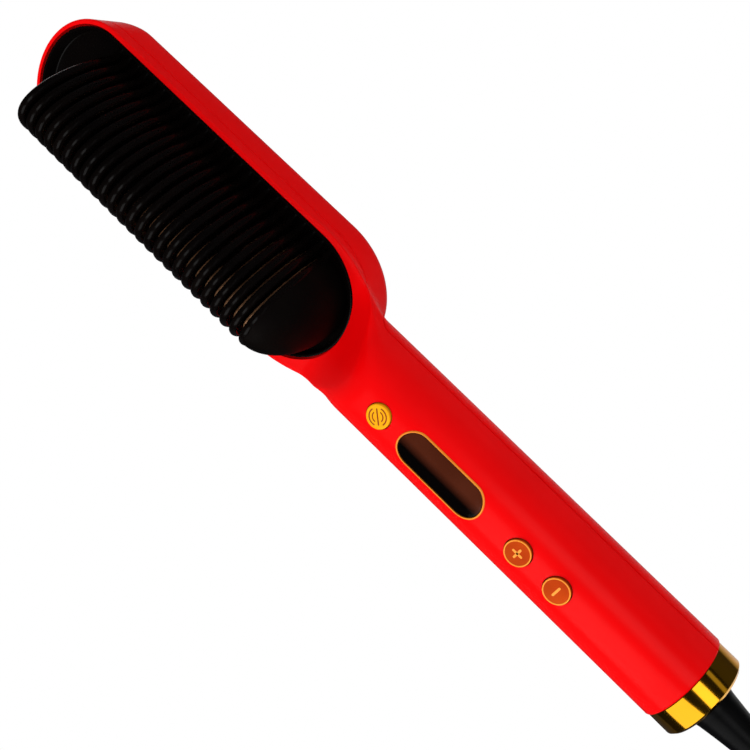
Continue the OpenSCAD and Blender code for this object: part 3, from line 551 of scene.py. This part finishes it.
def halfShell(name, upper):
    c = shell
    offset = c["seamGap"] / 2 if upper else -c["seamGap"] / 2
    s = stationsOf(c)
    inner = c["wall"] + s * (c["end"] - c["wall"]) / s[-1]
    inner[-1] = c["end"] - 0.02
    yo, zo = ringsOf(s, offset, upper, 0.0)
    yi, zi = ringsOf(inner, offset, upper, -c["wall"])
    count = yo.shape[1]
    rows = [[(s[i], yo[i, k], zo[i, k]) for k in range(count)] for i in range(len(s))]
    for step, shrink in ((0.2, 0.995), (0.4, 0.985), (0.5, 0.968)):
        rows.append([(s[-1] + step, yo[-1, k] * shrink, zo[-1, k] * shrink if abs(k - (count - 1) / 2)
                      < (count - 1) / 2 else zo[-1, k]) for k in range(count)])
    outerRows = len(rows)
    rows += [[(inner[i], yi[i, k], zi[i, k]) for k in range(count)] for i in range(len(inner) - 1, -1, -1)]
    verts = [v for row in rows for v in row]
    faces = []
    for i in range(len(rows) - 1):
        for k in range(count - 1):
            a = i * count + k
            faces.append((a, a + 1, a + count + 1, a + count))
    last = len(rows) - 1
    for edge in (0, count - 1):
        for i in range(outerRows - 1):
            o0, o1 = i * count + edge, (i + 1) * count + edge
            n0, n1 = ((last - min(k, len(s) - 1)) * count + edge for k in (i, i + 1))
            faces.append((o0, o1, n1, n0) if n0 != n1 else (o0, o1, n0))
    faces.append(tuple(range(count)))
    faces.append(tuple(last * count + k for k in range(count)))
    faces.append((0, count - 1, last * count + count - 1, last * count))
    return meshOf(name, verts, faces)


# The head's outline, moved in by `side` across, `tip` at the tip and `neck` at the neck.
def outlinePoints(side, tip, neck, steps=48):
    c = shell
    back = c["length"] - c["neck"]
    pts = []
    for i in range(steps + 1):
        a = math.pi / 2 + math.pi * i / steps
        pts.append((c["tip"] + (c["tip"] - tip) * math.cos(a), (c["half"] - side) * math.sin(a)))
    for i in range(steps + 1):
        a = -math.pi / 2 + math.pi * i / steps
        pts.append((back + (c["neck"] - neck) * math.cos(a), (c["half"] - side) * math.sin(a)))
    return pts


# Head outlines at rising or falling levels, each moved in by its own amount, closed at both ends.
def stack(name, levels, side, neck):
    verts, faces = [], []
    for inset, z in levels:
        verts += [(x, y, z) for x, y in outlinePoints(side + inset, side + inset, neck + inset)]
    n = len(verts) // len(levels)
    for i in range(len(levels) - 1):
        for k in range(n):
            m = (k + 1) % n
            faces.append((i * n + k, i * n + m, (i + 1) * n + m, (i + 1) * n + k))
    faces.append(tuple(range(n)))
    faces.append(tuple((len(levels) - 1) * n + k for k in range(n)))
    return meshOf(name, verts, faces)


def racetrack(length, width, steps=20):
    pts = []
    r, run = width / 2, (length - width) / 2
    for i in range(steps + 1):
        a = -math.pi / 2 + math.pi * i / steps
        pts.append((run + r * math.cos(a), r * math.sin(a)))
    for i in range(steps + 1):
        a = math.pi / 2 + math.pi * i / steps
        pts.append((-run + r * math.cos(a), r * math.sin(a)))
    return pts


controls = {
    "power": {"at": 173.7, "d": 8.0}, "plus": {"at": 229.9, "d": 8.4}, "minus": {"at": 244.9, "d": 8.4},
    "display": {"at": 198.6, "length": 32.6, "width": 12.3, "band": 0.5},
    "proud": 0.4, "gap": 0.3, "switchTop": 9.0,
}


def mergeMeshes(name, meshes):
    bm = bmesh.new()
    for m in meshes:
        bm.from_mesh(m)
    out = bpy.data.meshes.new(name)
    bm.to_mesh(out)
    bm.free()
    return out


# mesh less cutter, as a new mesh.
def cutMesh(mesh, cutter, name):
    a = bpy.data.objects.new("cutBase", mesh)
    b = bpy.data.objects.new("cutTool", cutter)
    for o in (a, b):
        bpy.context.scene.collection.objects.link(o)
    mod = a.modifiers.new("cut", "BOOLEAN")
    mod.operation = "DIFFERENCE"
    mod.solver = "EXACT"
    mod.object = b
    bpy.context.view_layer.update()
    made = bpy.data.meshes.new_from_object(a.evaluated_get(bpy.context.evaluated_depsgraph_get()))
    made.name = name
    for o in (a, b):
        bpy.data.objects.remove(o)
    return made


def makeShells():
    c = shell
    front = halfShell("frontShell", True)
    rim = c["rim"]
    levels = [(0, rim - 2.6), (0, rim - 0.5), (-0.07, rim - 0.25), (-0.25, rim - 0.07), (-0.5, rim),
              (-0.5, rim + 12)]
    cutters = [stack("recessCut", levels, c["rimWidth"], c["neckWeb"])]
    for key in ("power", "plus", "minus"):
        k = controls[key]
        r, top = k["d"] / 2 + controls["gap"], handleRadius(k["at"])
        cutters.append(standing("hole", k["at"], [(0, 4), (r, 4), (r, top + 3), (0, top + 3)]))
    d = controls["display"]
    pts = racetrack(d["length"], d["width"])
    n = len(pts)
    verts = [(d["at"] + x, y, z) for z in (4, 20) for x, y in pts]
    faces = [(k, (k + 1) % n, n + (k + 1) % n, n + k) for k in range(n)]
    faces += [tuple(range(n)), tuple(range(n, 2 * n))]
    cutters.append(meshOf("window", verts, faces))
    front = cutMesh(front, mergeMeshes("cutters", cutters), "frontShell")
    finishPiece("frontShell", front, "red_shell", "handle", ("front_housing",), sharp=32)
    rear = halfShell("rearShell", False)
    holes, bosses = [], []
    for s, y, sink in [(38, 17.4, 2.5), (38, -17.4, 2.5), (110.56, 17.4, 2.5), (110.56, -17.4, 2.5),
                       (160.7, 0, 4.0), (255.7, 0, 4.0)]:
        low = -c["drop"] if y else -handleRadius(s)
        tool = standing("hole", s, [(0, low - 1), (3.0, low - 1), (3.0, low), (2.6, low + 0.4),
                                    (2.6, low + 2.4), (0, low + 2.4)], 40)
        boss = standing("boss", s, [(3.6, low + 1.5), (3.6, low + sink + 2), (1.25, low + sink + 2),
                                    (1.25, low + sink), (2.6, low + sink), (2.6, low + 1.5)], 40)
        for m in (tool, boss):
            m.transform(Matrix.Translation((0, y * mm, 0)))
        holes.append(tool)
        bosses.append(boss)
    rear = cutMesh(rear, mergeMeshes("cutters", holes), "rearShell")
    rear = mergeMeshes("rearShell", [rear] + bosses)
    finishPiece("rearShell", rear, "red_shell", "handle", ("rear_housing",), sharp=32)
    print("shells made")


makeShells()


# Comb guard: tray, fins set along it by Geometry Nodes, and the end block.
def archPoint(a, inset=0.0):
    c = comb
    return ((c["half"] - inset) * math.cos(a), (c["rise"] - inset) * math.sin(a) - c["dip"])


# Points along a fin's edge with their outward directions, from one foot to the other.
def finPath(flared):
    c = comb
    pts = []
    if flared:
        zt = c["flare"]
        yt = c["half"] * math.sqrt(1 - ((zt + c["dip"]) / c["rise"]) ** 2)
        a0 = math.asin((zt + c["dip"]) / c["rise"])
        slope = math.atan2(c["half"] * math.sin(a0), c["rise"] * math.cos(a0))
        for i in range(12):
            a = (math.pi / 2 - slope) * i / 12
            pts.append((yt + c["flare"] * (math.cos(slope) - math.sin(a)), c["flare"] * (1 - math.cos(a)),
                        math.sin(a), math.cos(a)))
        foot = pts[0][1]
        pts = [(y, z - foot, ny, nz) for y, z, ny, nz in pts]
    else:
        a0 = math.asin((c["dip"] - 1.5) / c["rise"])
    for i in range(61):
        a = a0 + (math.pi - 2 * a0) * i / 60
        y, z = archPoint(a)
        n = Vector((math.cos(a) / c["half"], math.sin(a) / c["rise"])).normalized()
        pts.append((y, z, n.x, n.y))
    if flared:
        pts += [(-y, z, -ny, nz) for y, z, ny, nz in reversed(pts[:12])]
    return pts


def leanPoint(x, y, z, at):
    a = math.radians(comb["lean"])
    return (at + x * math.cos(a) + z * math.sin(a), y, comb["floor"] - x * math.sin(a) + z * math.cos(a))


# Sweeps a half profile of (depth, thickness) along the path and fills the blade between.
def finMesh(name, path, profile, at, inset=0.0, foot=-1.2):
    both = profile + [(d, -x) for d, x in reversed(profile[:-1])]
    verts, faces = [], []
    for y, z, ny, nz in path:
        for d, x in both:
            verts.append(leanPoint(x, y - ny * (d + inset), z - nz * (d + inset), at))
    n = len(both)
    for i in range(len(path) - 1):
        for k in range(n - 1):
            faces.append((i * n + k, i * n + k + 1, (i + 1) * n + k + 1, (i + 1) * n + k))
    ends = []
    for k in (0, n - 1):
        x = both[k][1]
        y0, y1 = (p[0] - p[2] * (both[k][0] + inset) for p in (path[0], path[-1]))
        ends.append((len(verts), len(verts) + 1))
        verts += [leanPoint(x, y0, foot, at), leanPoint(x, y1, foot, at)]
    m = len(path)
    faces.append(tuple([i * n for i in range(m)] + [ends[0][1], ends[0][0]]))
    faces.append(tuple([i * n + n - 1 for i in range(m)] + [ends[1][1], ends[1][0]]))
    faces.append(tuple(list(range(n)) + [ends[1][0], ends[0][0]]))
    faces.append(tuple([(m - 1) * n + k for k in range(n)] + [ends[1][1], ends[0][1]]))
    faces.append((ends[0][0], ends[0][1], ends[1][1], ends[1][0]))
    return meshOf(name, verts, faces, weld=False)


# Sets copies of the mesh along +X with Geometry Nodes, and returns the realised mesh.
def repeated(name, mesh, material, count, step):
    tree = bpy.data.node_groups.new(name + "Row", "GeometryNodeTree")
    tree.interface.new_socket("Geometry", in_out="INPUT", socket_type="NodeSocketGeometry")
    sockets = {}
    for label, kind, value in (("Count", "NodeSocketInt", count), ("Step", "NodeSocketFloat", step)):
        sockets[label] = tree.interface.new_socket(label, in_out="INPUT", socket_type=kind)
        sockets[label].default_value = value
    tree.interface.new_socket("Geometry", in_out="OUTPUT", socket_type="NodeSocketGeometry")
    new = tree.nodes.new
    start, end = new("NodeGroupInput"), new("NodeGroupOutput")
    line, offset = new("GeometryNodeMeshLine"), new("ShaderNodeCombineXYZ")
    place = new("GeometryNodeInstanceOnPoints")
    real, paint = new("GeometryNodeRealizeInstances"), new("GeometryNodeSetMaterial")
    paint.inputs["Material"].default_value = material
    link = tree.links.new
    link(start.outputs["Count"], line.inputs["Count"])
    link(start.outputs["Step"], offset.inputs["X"])
    link(offset.outputs["Vector"], line.inputs["Offset"])
    link(line.outputs["Mesh"], place.inputs["Points"])
    link(start.outputs["Geometry"], place.inputs["Instance"])
    link(place.outputs["Instances"], real.inputs["Geometry"])
    link(real.outputs["Geometry"], paint.inputs["Geometry"])
    link(paint.outputs["Geometry"], end.inputs["Geometry"])
    ob = bpy.data.objects.new(name + "Base", mesh)
    bpy.context.scene.collection.objects.link(ob)
    mod = ob.modifiers.new("row", "NODES")
    mod.node_group = tree
    mod[sockets["Count"].identifier] = count
    mod[sockets["Step"].identifier] = step
    bpy.context.view_layer.update()
    made = bpy.data.meshes.new_from_object(ob.evaluated_get(bpy.context.evaluated_depsgraph_get()))
    made.name = name
    bpy.data.objects.remove(ob)
    return made


def noseMesh():
    c = comb
    last = c["first"] + (c["count"] - 1) * c["pitch"]
    high = c["rise"] - c["dip"] - 0.8
    slope = math.tan(math.radians(c["lean"]))
    verts, faces = [], []
    up, round_ = 28, 36
    for i in range(up + 1):
        b = math.pi / 2 * i / up
        z = high * math.sin(b)
        w = (c["half"] - 0.5) * math.sqrt(max(0.0, 1 - ((z + c["dip"]) / (c["rise"] - 0.4)) ** 2))
        for k in range(round_ + 1):
            a = -math.pi / 2 + math.pi * k / round_
            x = c["nose"] * math.cos(b) * math.cos(a)
            verts.append((last + slope * z + x, w * math.sin(a), c["floor"] - 0.3 + z))
    n = round_ + 1
    for i in range(up):
        for k in range(round_):
            faces.append((i * n + k, i * n + k + 1, (i + 1) * n + k + 1, (i + 1) * n + k))
    faces.append(tuple(range(n)))
    faces.append(tuple([i * n for i in range(up + 1)] + [i * n + round_ for i in range(up, -1, -1)]))
    return meshOf("guardNose", verts, faces)


def makeComb():
    c = comb
    top = shell["rim"] - 0.3
    levels = [(0, c["floor"] - 3), (0, top - 0.3), (0.12, top - 0.08), (0.35, top), (0.65, top),
              (0.88, top - 0.08), (1.0, top - 0.3), (1.0, c["floor"] + 0.9), (1.12, c["floor"] + 0.4),
              (1.4, c["floor"] + 0.1), (1.9, c["floor"])]
    tray = stack("guardTray", levels, shell["rimWidth"] + c["fit"], shell["neckWeb"] + c["fit"])
    finishPiece("guardTray", tray, "black_guard", "handle", ("comb_guard",), sharp=40)
    bead = [(c["beadDepth"], c["blade"] / 2), (1.9, 0.9), (1.4, 1.22), (0.95, 1.3), (0.6, 1.17), (0.3, 0.9),
            (0.1, 0.5), (0.0, 0.0)]
    fin = finMesh("guardFins", finPath(True), bead, c["first"])
    fins = repeated("guardFins", fin, mats["black_guard"], c["count"], c["pitch"] * mm)
    finishPiece("guardFins", fins, "black_guard", "handle", sharp=40)
    finishPiece("guardNose", noseMesh(), "black_guard", "handle", finish="black_block", sharp=50)
    edge = [(0.6, c["hot"] / 2), (0.3, 0.46), (0.1, 0.3), (0.0, 0.0)]
    blade = finMesh("heatingFins", finPath(False), edge, c["first"] + c["pitch"] / 2, c["hotDrop"], -2.5)
    hot = repeated("heatingFins", blade, mats["heater_metal"], c["count"] - 1, c["pitch"] * mm)
    finishPiece("heatingFins", hot, "heater_metal", "handle", ("heater_comb",), sharp=40)
    print("comb made")


makeComb()


# Controls
def nested(length, width, inset):
    return racetrack(length - 2 * inset, width - 2 * inset)


def onHandle(x, y, at, lift):
    r = handleRadius(at + x) + lift
    return (at + x, y, math.sqrt(r * r - y * y))


# Joins rings of equal count, as a closed loop of rings or with a face at each end.
def ringsMesh(name, rings, closed):
    verts = [v for ring in rings for v in ring]
    n, m = len(rings[0]), len(rings)
    faces = []
    for i in range(m if closed else m - 1):
        j = (i + 1) % m
        for k in range(n):
            q = (k + 1) % n
            faces.append((i * n + k, i * n + q, j * n + q, j * n + k))
    if not closed:
        faces += [tuple(range(n)), tuple((m - 1) * n + k for k in range(n))]
    return meshOf(name, verts, faces)


def makeDisplay():
    d = controls["display"]
    at, length, width, band = d["at"], d["length"], d["width"], d["band"]
    profile = [(0.0, -1.6), (0.0, 0.08), (0.06, 0.18), (0.18, 0.24), (0.36, 0.25), (band, 0.2),
               (band - 0.03, 0.08), (band, -0.1), (band, -1.6)]
    rings = [[onHandle(x, y, at, lift) for x, y in nested(length, width, inset)] for inset, lift in profile]
    bezel = ringsMesh("displayBezel", rings, True)
    finishPiece("displayBezel", bezel, "bezel_gold", "handle", ("display_bezel",), sharp=60)
    half = width / 2
    levels = [(half - 0.01, -1.7), (band + 0.12, -1.7), (band + 0.12, -0.15), (band + 0.2, -0.04),
              (band + 0.4, 0.0)]
    levels += [(inset, 0.0) for inset in (1.2, 2.0, 2.8, 3.6, 4.4, 5.2, 5.8, half - 0.01)]
    rings = [[onHandle(x, y, at, lift) for x, y in nested(length, width, inset)] for inset, lift in levels]
    lens = ringsMesh("displayLens", rings, False)
    finishPiece("displayLens", lens, "smoked_lens", "handle", ("display_lens",), sharp=50)


def domeTop(r, radius, dome):
    return dome * (1 - (r / radius) ** 2)


def buttonMesh(name, at, radius, top, dome, depth=3.2):
    profile = [(0, top - depth), (radius, top - depth), (radius, top - 0.3), (radius - 0.04, top - 0.16),
               (radius - 0.14, top - 0.05), (radius - 0.3, top)]
    profile += [(radius * k / 8, top + domeTop(radius * k / 8, radius, dome)) for k in range(7, 0, -1)]
    return standing(name, at, profile + [(0, top + dome)])


# A raised line of a symbol along points (x, y), with round ends.
def stroke(points, width, at, base, high):
    r = width / 2
    left, right = [], []
    for i, (x, y) in enumerate(points):
        x0, y0 = points[max(i - 1, 0)]
        x1, y1 = points[min(i + 1, len(points) - 1)]
        n = Vector((y0 - y1, x1 - x0)).normalized()
        left.append((x + r * n.x, y + r * n.y))
        right.append((x - r * n.x, y - r * n.y))

    def cap(centre, start, turn):
        a0 = math.atan2(start[1] - centre[1], start[0] - centre[0])
        angles = [a0 - turn * math.pi * k / 8 for k in range(1, 8)]
        return [(centre[0] + r * math.cos(a), centre[1] + r * math.sin(a)) for a in angles]

    outline = left + cap(points[-1], left[-1], 1) + right[::-1] + cap(points[0], right[0], 1)
    rings = []
    for shrink, z in ((0.0, base - 0.3), (0.0, base + high * 0.5), (0.05, base + high)):
        ring = []
        for i, (x, y) in enumerate(outline):
            x0, y0 = outline[i - 1]
            x1, y1 = outline[(i + 1) % len(outline)]
            n = Vector((y1 - y0, x0 - x1)).normalized()
            ring.append((at + x + shrink * n.x, y + shrink * n.y, z))
        rings.append(ring)
    return ringsMesh("stroke", rings, False)


def arcLine(radius, start, end, steps=20):
    return [(radius * math.cos(math.radians(start + (end - start) * k / steps)),
             radius * math.sin(math.radians(start + (end - start) * k / steps))) for k in range(steps + 1)]


def makeButtons():
    for key, slot, mark in (("power", "button_gold", "mark_brown"), ("plus", "button_bronze", "mark_gold"),
                            ("minus", "button_bronze", "mark_gold")):
        k = controls[key]
        at, radius = k["at"], k["d"] / 2
        top = handleRadius(at) + controls["proud"]
        dome = 0.06
        parts = [buttonMesh(key, at, radius, top, dome)]
        stemTop, seat = top - 3.0, controls["switchTop"] + 1.0
        parts.append(standing("stem", at, [(0, seat), (1.6, seat), (1.6, stemTop), (0, stemTop)], 32))
        whole = mergeMeshes(key + "Button", parts)
        finishPiece(key + "Button", whole, slot, key, (key + "_button",), sharp=40)
        base = top + dome * 0.6
        if key == "power":
            lines = [(arcLine(radius, middle - half, middle + half, 14), 0.4)
                     for radius, half in ((2.85, 58), (1.75, 50)) for middle in (45, 225)]
            lines.append(([(-1.7, 1.7), (1.7, -1.7)], 0.5))
            lift = 0.03
        elif key == "plus":
            lines = [([(-1.5, 0), (1.5, 0)], 0.78), ([(0, -1.5), (0, 1.5)], 0.78)]
            lift = 0.12
        else:
            lines = [([(0, -1.5), (0, 1.5)], 0.78)]
            lift = 0.12
        strokes = [stroke(line, width, at, base, lift) for line, width in lines]
        symbol = mergeMeshes(key + "Mark", strokes)
        finishPiece(key + "Mark", symbol, slot, key, finish=mark, sharp=50)
        if key != "power":
            rim = [(radius - 0.5, top - 0.2), (radius + 0.0, top - 0.2), (radius + 0.02, top - 0.02),
                   (radius - 0.06, top + 0.08), (radius - 0.2, top + 0.12), (radius - 0.38, top + 0.08),
                   (radius - 0.5, top - 0.02), (radius - 0.5, top - 0.2)]
            finishPiece(key + "Rim", standing(key + "Rim", at, rim), slot, key, finish="mark_gold", sharp=60)
    print("controls made")


makeDisplay()
makeButtons()


# Cord end: polished ring, and the boot that turns in it.
ending = {"ring": 14.5, "length": 8.2, "chamfer": 0.9, "bore": 7.3, "spigot": 8.0, "flange": 9.0, "boot": 6.9,
          "bootEnd": 4.5, "collar": 0.3}


def makeCordEnd():
    e, s0 = ending, shell["end"]
    s1, back = s0 + e["length"], shell["end"] - e["spigot"]
    sleeve = handleRadius(s0) - shell["wall"] - 0.1
    ring, flange, chamfer = e["ring"], e["flange"] + 0.4, e["chamfer"]
    profile = [(back + 3.6, e["bore"]), (back + 3.6, flange), (back, flange), (back, sleeve),
               (s0 + 0.02, sleeve), (s0 + 0.02, ring - 0.25), (s0 + 0.08, ring - 0.08), (s0 + 0.25, ring),
               (s1 - chamfer - 0.06, ring), (s1 - chamfer + 0.06, ring - 0.04),
               (s1 - 0.08, ring - chamfer + 0.04), (s1, ring - chamfer - 0.14), (s1, e["bore"] + 0.5),
               (s1 - 0.15, e["bore"] + 0.15), (s1 - 0.5, e["bore"]), (back + 3.6, e["bore"])]
    mesh = revolve("endRing", profile, 144)
    finishPiece("endRing", mesh, "polished_gold", "handle", ("end_ring",), sharp=25)
    b, c = e["boot"], e["collar"]
    end = body["length"]
    profile = [(back + 0.3, 0), (back + 0.3, e["flange"]), (back + 3.2, e["flange"]), (back + 3.2, b),
               (s1, b), (s1 + 0.5, b + c * 0.6), (s1 + 1.0, b + c), (s1 + 2.6, b + c),
               (s1 + 3.4, b + c * 0.7), (s1 + 4.2, b)]
    for k in range(1, 12):
        t = k / 12
        thin = b + (e["bootEnd"] - b) * t - 0.5 * math.sin(math.pi * t)
        profile.append((s1 + 4.2 + (end - 5.0 - s1) * t, thin))
    tip = e["bootEnd"]
    profile += [(end - 0.8, tip), (end - 0.3, tip - 0.15), (end - 0.05, tip - 0.55), (end, 3.6), (end, 0)]
    mesh = revolve("cordBoot", profile, 96)
    finishPiece("cordBoot", mesh, "boot_rubber", "swivel", ("cord_boot",), sharp=40)
    print("cord end made")


makeCordEnd()


tie = {"width": 10.0, "thick": 0.8, "gap": 0.5, "corner": 3.4, "tab": 22.0}


# A flat band round the hank's middle, its end lapped over the top.
def makeTie():
    t = tie
    half = cord["half"] + cord["diameter"] / 2 + t["gap"]
    high = cord["lay"] + (cord["layers"] - 1) * cord["step"] + cord["diameter"] / 2 + t["gap"]
    start = body["length"] + cord["from"] + cord["run"] / 2
    mid = (high + 0.15) / 2

    def band(grow):
        pts = rounded(2 * (half + grow), high - 0.15 + 2 * grow, t["corner"] + grow, 10)
        return [(y, z + mid) for y, z in pts]

    rings = []
    side, thick = t["width"] / 2, t["thick"]
    profile = [(-side, 0.0), (-side, thick * 0.7), (-side + 0.25, thick), (side - 0.25, thick),
               (side, thick * 0.7), (side, 0.0)]
    for x, grow in profile:
        rings.append([(start + x, y, max(z, 0.0) - body["axis"]) for y, z in band(grow * 0.75)])
    parts = [ringsMesh("band", rings, True)]
    top = high + t["thick"] * 0.72 - body["axis"]
    outline = rounded(t["width"] - 1.2, t["tab"], 3.0, 8)
    lap = []
    for shrink, z in ((0.0, top - 0.1), (0.0, top + 0.5), (0.25, top + 0.75)):
        lap.append([(start + x * (1 - shrink / 5), 12 + y * (1 - shrink / 12), z) for x, y in outline])
    parts.append(ringsMesh("lap", lap, False))
    mesh = mergeMeshes("cordTie", parts)
    return finishPiece("cordTie", mesh, "tie_fabric", "handle", ("cord_tie",), sharp=40)


band = makeTie()
print("tie made")


# Finishes of the drawn pieces inside
for part in frame["record"]["subparts"]:
    ob = frame["nodes"][part["node"]]
    ob.data.materials.clear()
    ob.data.materials.append(mats[part["material_slot"]])
print("inner pieces finished")


# Stage: white floor, soft cards and a pale sky. The key lights the surfaces and isn't mirrored in them.
studio = {
    "floor": 3.0, "sky": 0.5, "skyGlossy": 0.01, "floorFar": 0.03,
    "cards": [
        {"name": "key", "angle": -33, "lean": -0.1, "size": (1.0, 1.0), "power": 8.8, "far": 1.2,
         "glossy": False},
        {"name": "broad", "angle": -31, "lean": 0.387, "size": (1.0, 1.17), "power": 4.6, "far": 1.2},
        {"name": "strip", "angle": 36.5, "lean": 0.387, "size": (1.0, 0.49), "power": 2.4, "far": 1.2},
        {"name": "side", "angle": 77, "lean": 0.387, "size": (1.0, 0.2), "power": 0.18, "far": 1.2},
    ],
}


def makeFloor(c):
    bm = bmesh.new()
    for x, y in ((-1, -1), (1, -1), (1, 1), (-1, 1)):
        bm.verts.new((x * c["floor"] / 2, y * c["floor"] / 2, -0.0002))
    bm.faces.new(bm.verts)
    mesh = bpy.data.meshes.new("floor")
    bm.to_mesh(mesh)
    bm.free()
    ob = bpy.data.objects.new("floor", mesh)
    bpy.context.scene.collection.objects.link(ob)
    mat, tree, shader = shaderOf("floor")
    shader.inputs["Base Color"].default_value = (0.8, 0.8, 0.8, 1)
    shader.inputs["Roughness"].default_value = 0.9
    shader.inputs["Specular IOR Level"].default_value = 0.0
    path, glow = tree.nodes.new("ShaderNodeLightPath"), tree.nodes.new("ShaderNodeEmission")
    mix = tree.nodes.new("ShaderNodeMixShader")
    glow.inputs["Color"].default_value = (1, 1, 1, 1)
    # In reflections the floor fades to dark away from the part's axis.
    coords, split, away, fade = (tree.nodes.new(n) for n in ("ShaderNodeTexCoord", "ShaderNodeSeparateXYZ",
                                                             "ShaderNodeMath", "ShaderNodeMapRange"))
    away.operation = "ABSOLUTE"
    fade.inputs["From Min"].default_value = 0.014
    fade.inputs["From Max"].default_value = 0.03
    dark, seen = tree.nodes.new("ShaderNodeBsdfDiffuse"), tree.nodes.new("ShaderNodeMixShader")
    dark.inputs["Color"].default_value = (c["floorFar"], c["floorFar"], c["floorFar"] * 1.1, 1)
    tree.links.new(coords.outputs["Object"], split.inputs["Vector"])
    tree.links.new(split.outputs["Y"], away.inputs[0])
    tree.links.new(away.outputs["Value"], fade.inputs["Value"])
    both = tree.nodes.new("ShaderNodeMath")
    both.operation = "MULTIPLY"
    tree.links.new(fade.outputs["Result"], both.inputs[0])
    tree.links.new(path.outputs["Is Glossy Ray"], both.inputs[1])
    tree.links.new(both.outputs["Value"], seen.inputs["Fac"])
    tree.links.new(shader.outputs["BSDF"], seen.inputs[1])
    tree.links.new(dark.outputs["BSDF"], seen.inputs[2])
    tree.links.new(path.outputs["Is Camera Ray"], mix.inputs["Fac"])
    tree.links.new(seen.outputs["Shader"], mix.inputs[1])
    tree.links.new(glow.outputs["Emission"], mix.inputs[2])
    tree.links.new(mix.outputs["Shader"], tree.nodes["Material Output"].inputs["Surface"])
    mesh.materials.append(mat)


def makeSky(c):
    world = bpy.data.worlds.new("sky")
    bpy.context.scene.world = world
    world.use_nodes = True
    tree = world.node_tree
    tree.nodes.clear()
    path = tree.nodes.new("ShaderNodeLightPath")
    out = tree.nodes.new("ShaderNodeOutputWorld")
    soft, seen, shiny = (tree.nodes.new("ShaderNodeBackground") for _ in range(3))
    for node, value in ((soft, c["sky"]), (seen, 1.0), (shiny, c["skyGlossy"])):
        node.inputs["Color"].default_value = (1, 1, 1, 1)
        node.inputs["Strength"].default_value = value
    glossy, camera_ = tree.nodes.new("ShaderNodeMixShader"), tree.nodes.new("ShaderNodeMixShader")
    tree.links.new(path.outputs["Is Glossy Ray"], glossy.inputs["Fac"])
    tree.links.new(soft.outputs["Background"], glossy.inputs[1])
    tree.links.new(shiny.outputs["Background"], glossy.inputs[2])
    tree.links.new(path.outputs["Is Camera Ray"], camera_.inputs["Fac"])
    tree.links.new(glossy.outputs["Shader"], camera_.inputs[1])
    tree.links.new(seen.outputs["Background"], camera_.inputs[2])
    tree.links.new(camera_.outputs["Shader"], out.inputs["Surface"])


def makeCard(c):
    data = bpy.data.lights.new(c["name"], "AREA")
    data.shape = "RECTANGLE"
    data.size, data.size_y = c["size"]
    data.energy = c["power"]
    ob = bpy.data.objects.new(c["name"], data)
    bpy.context.scene.collection.objects.link(ob)
    a = math.radians(c["angle"])
    k = math.sqrt(1 - c["lean"] ** 2)
    back = Vector((c["lean"], k * math.sin(a), k * math.cos(a)))
    side = Vector((1, 0, 0))
    side = (side - side.dot(back) * back).normalized()
    turn = Matrix((side, back.cross(side), back)).transposed().to_4x4()
    ob.matrix_world = Matrix.Translation(Vector(c.get("about", (0.06, 0, 0.015))) + back * c["far"]) @ turn
    ob.visible_glossy = c.get("glossy", True)


makeFloor(studio)
makeSky(studio)
for card in studio["cards"]:
    makeCard(card)
print("stage made")
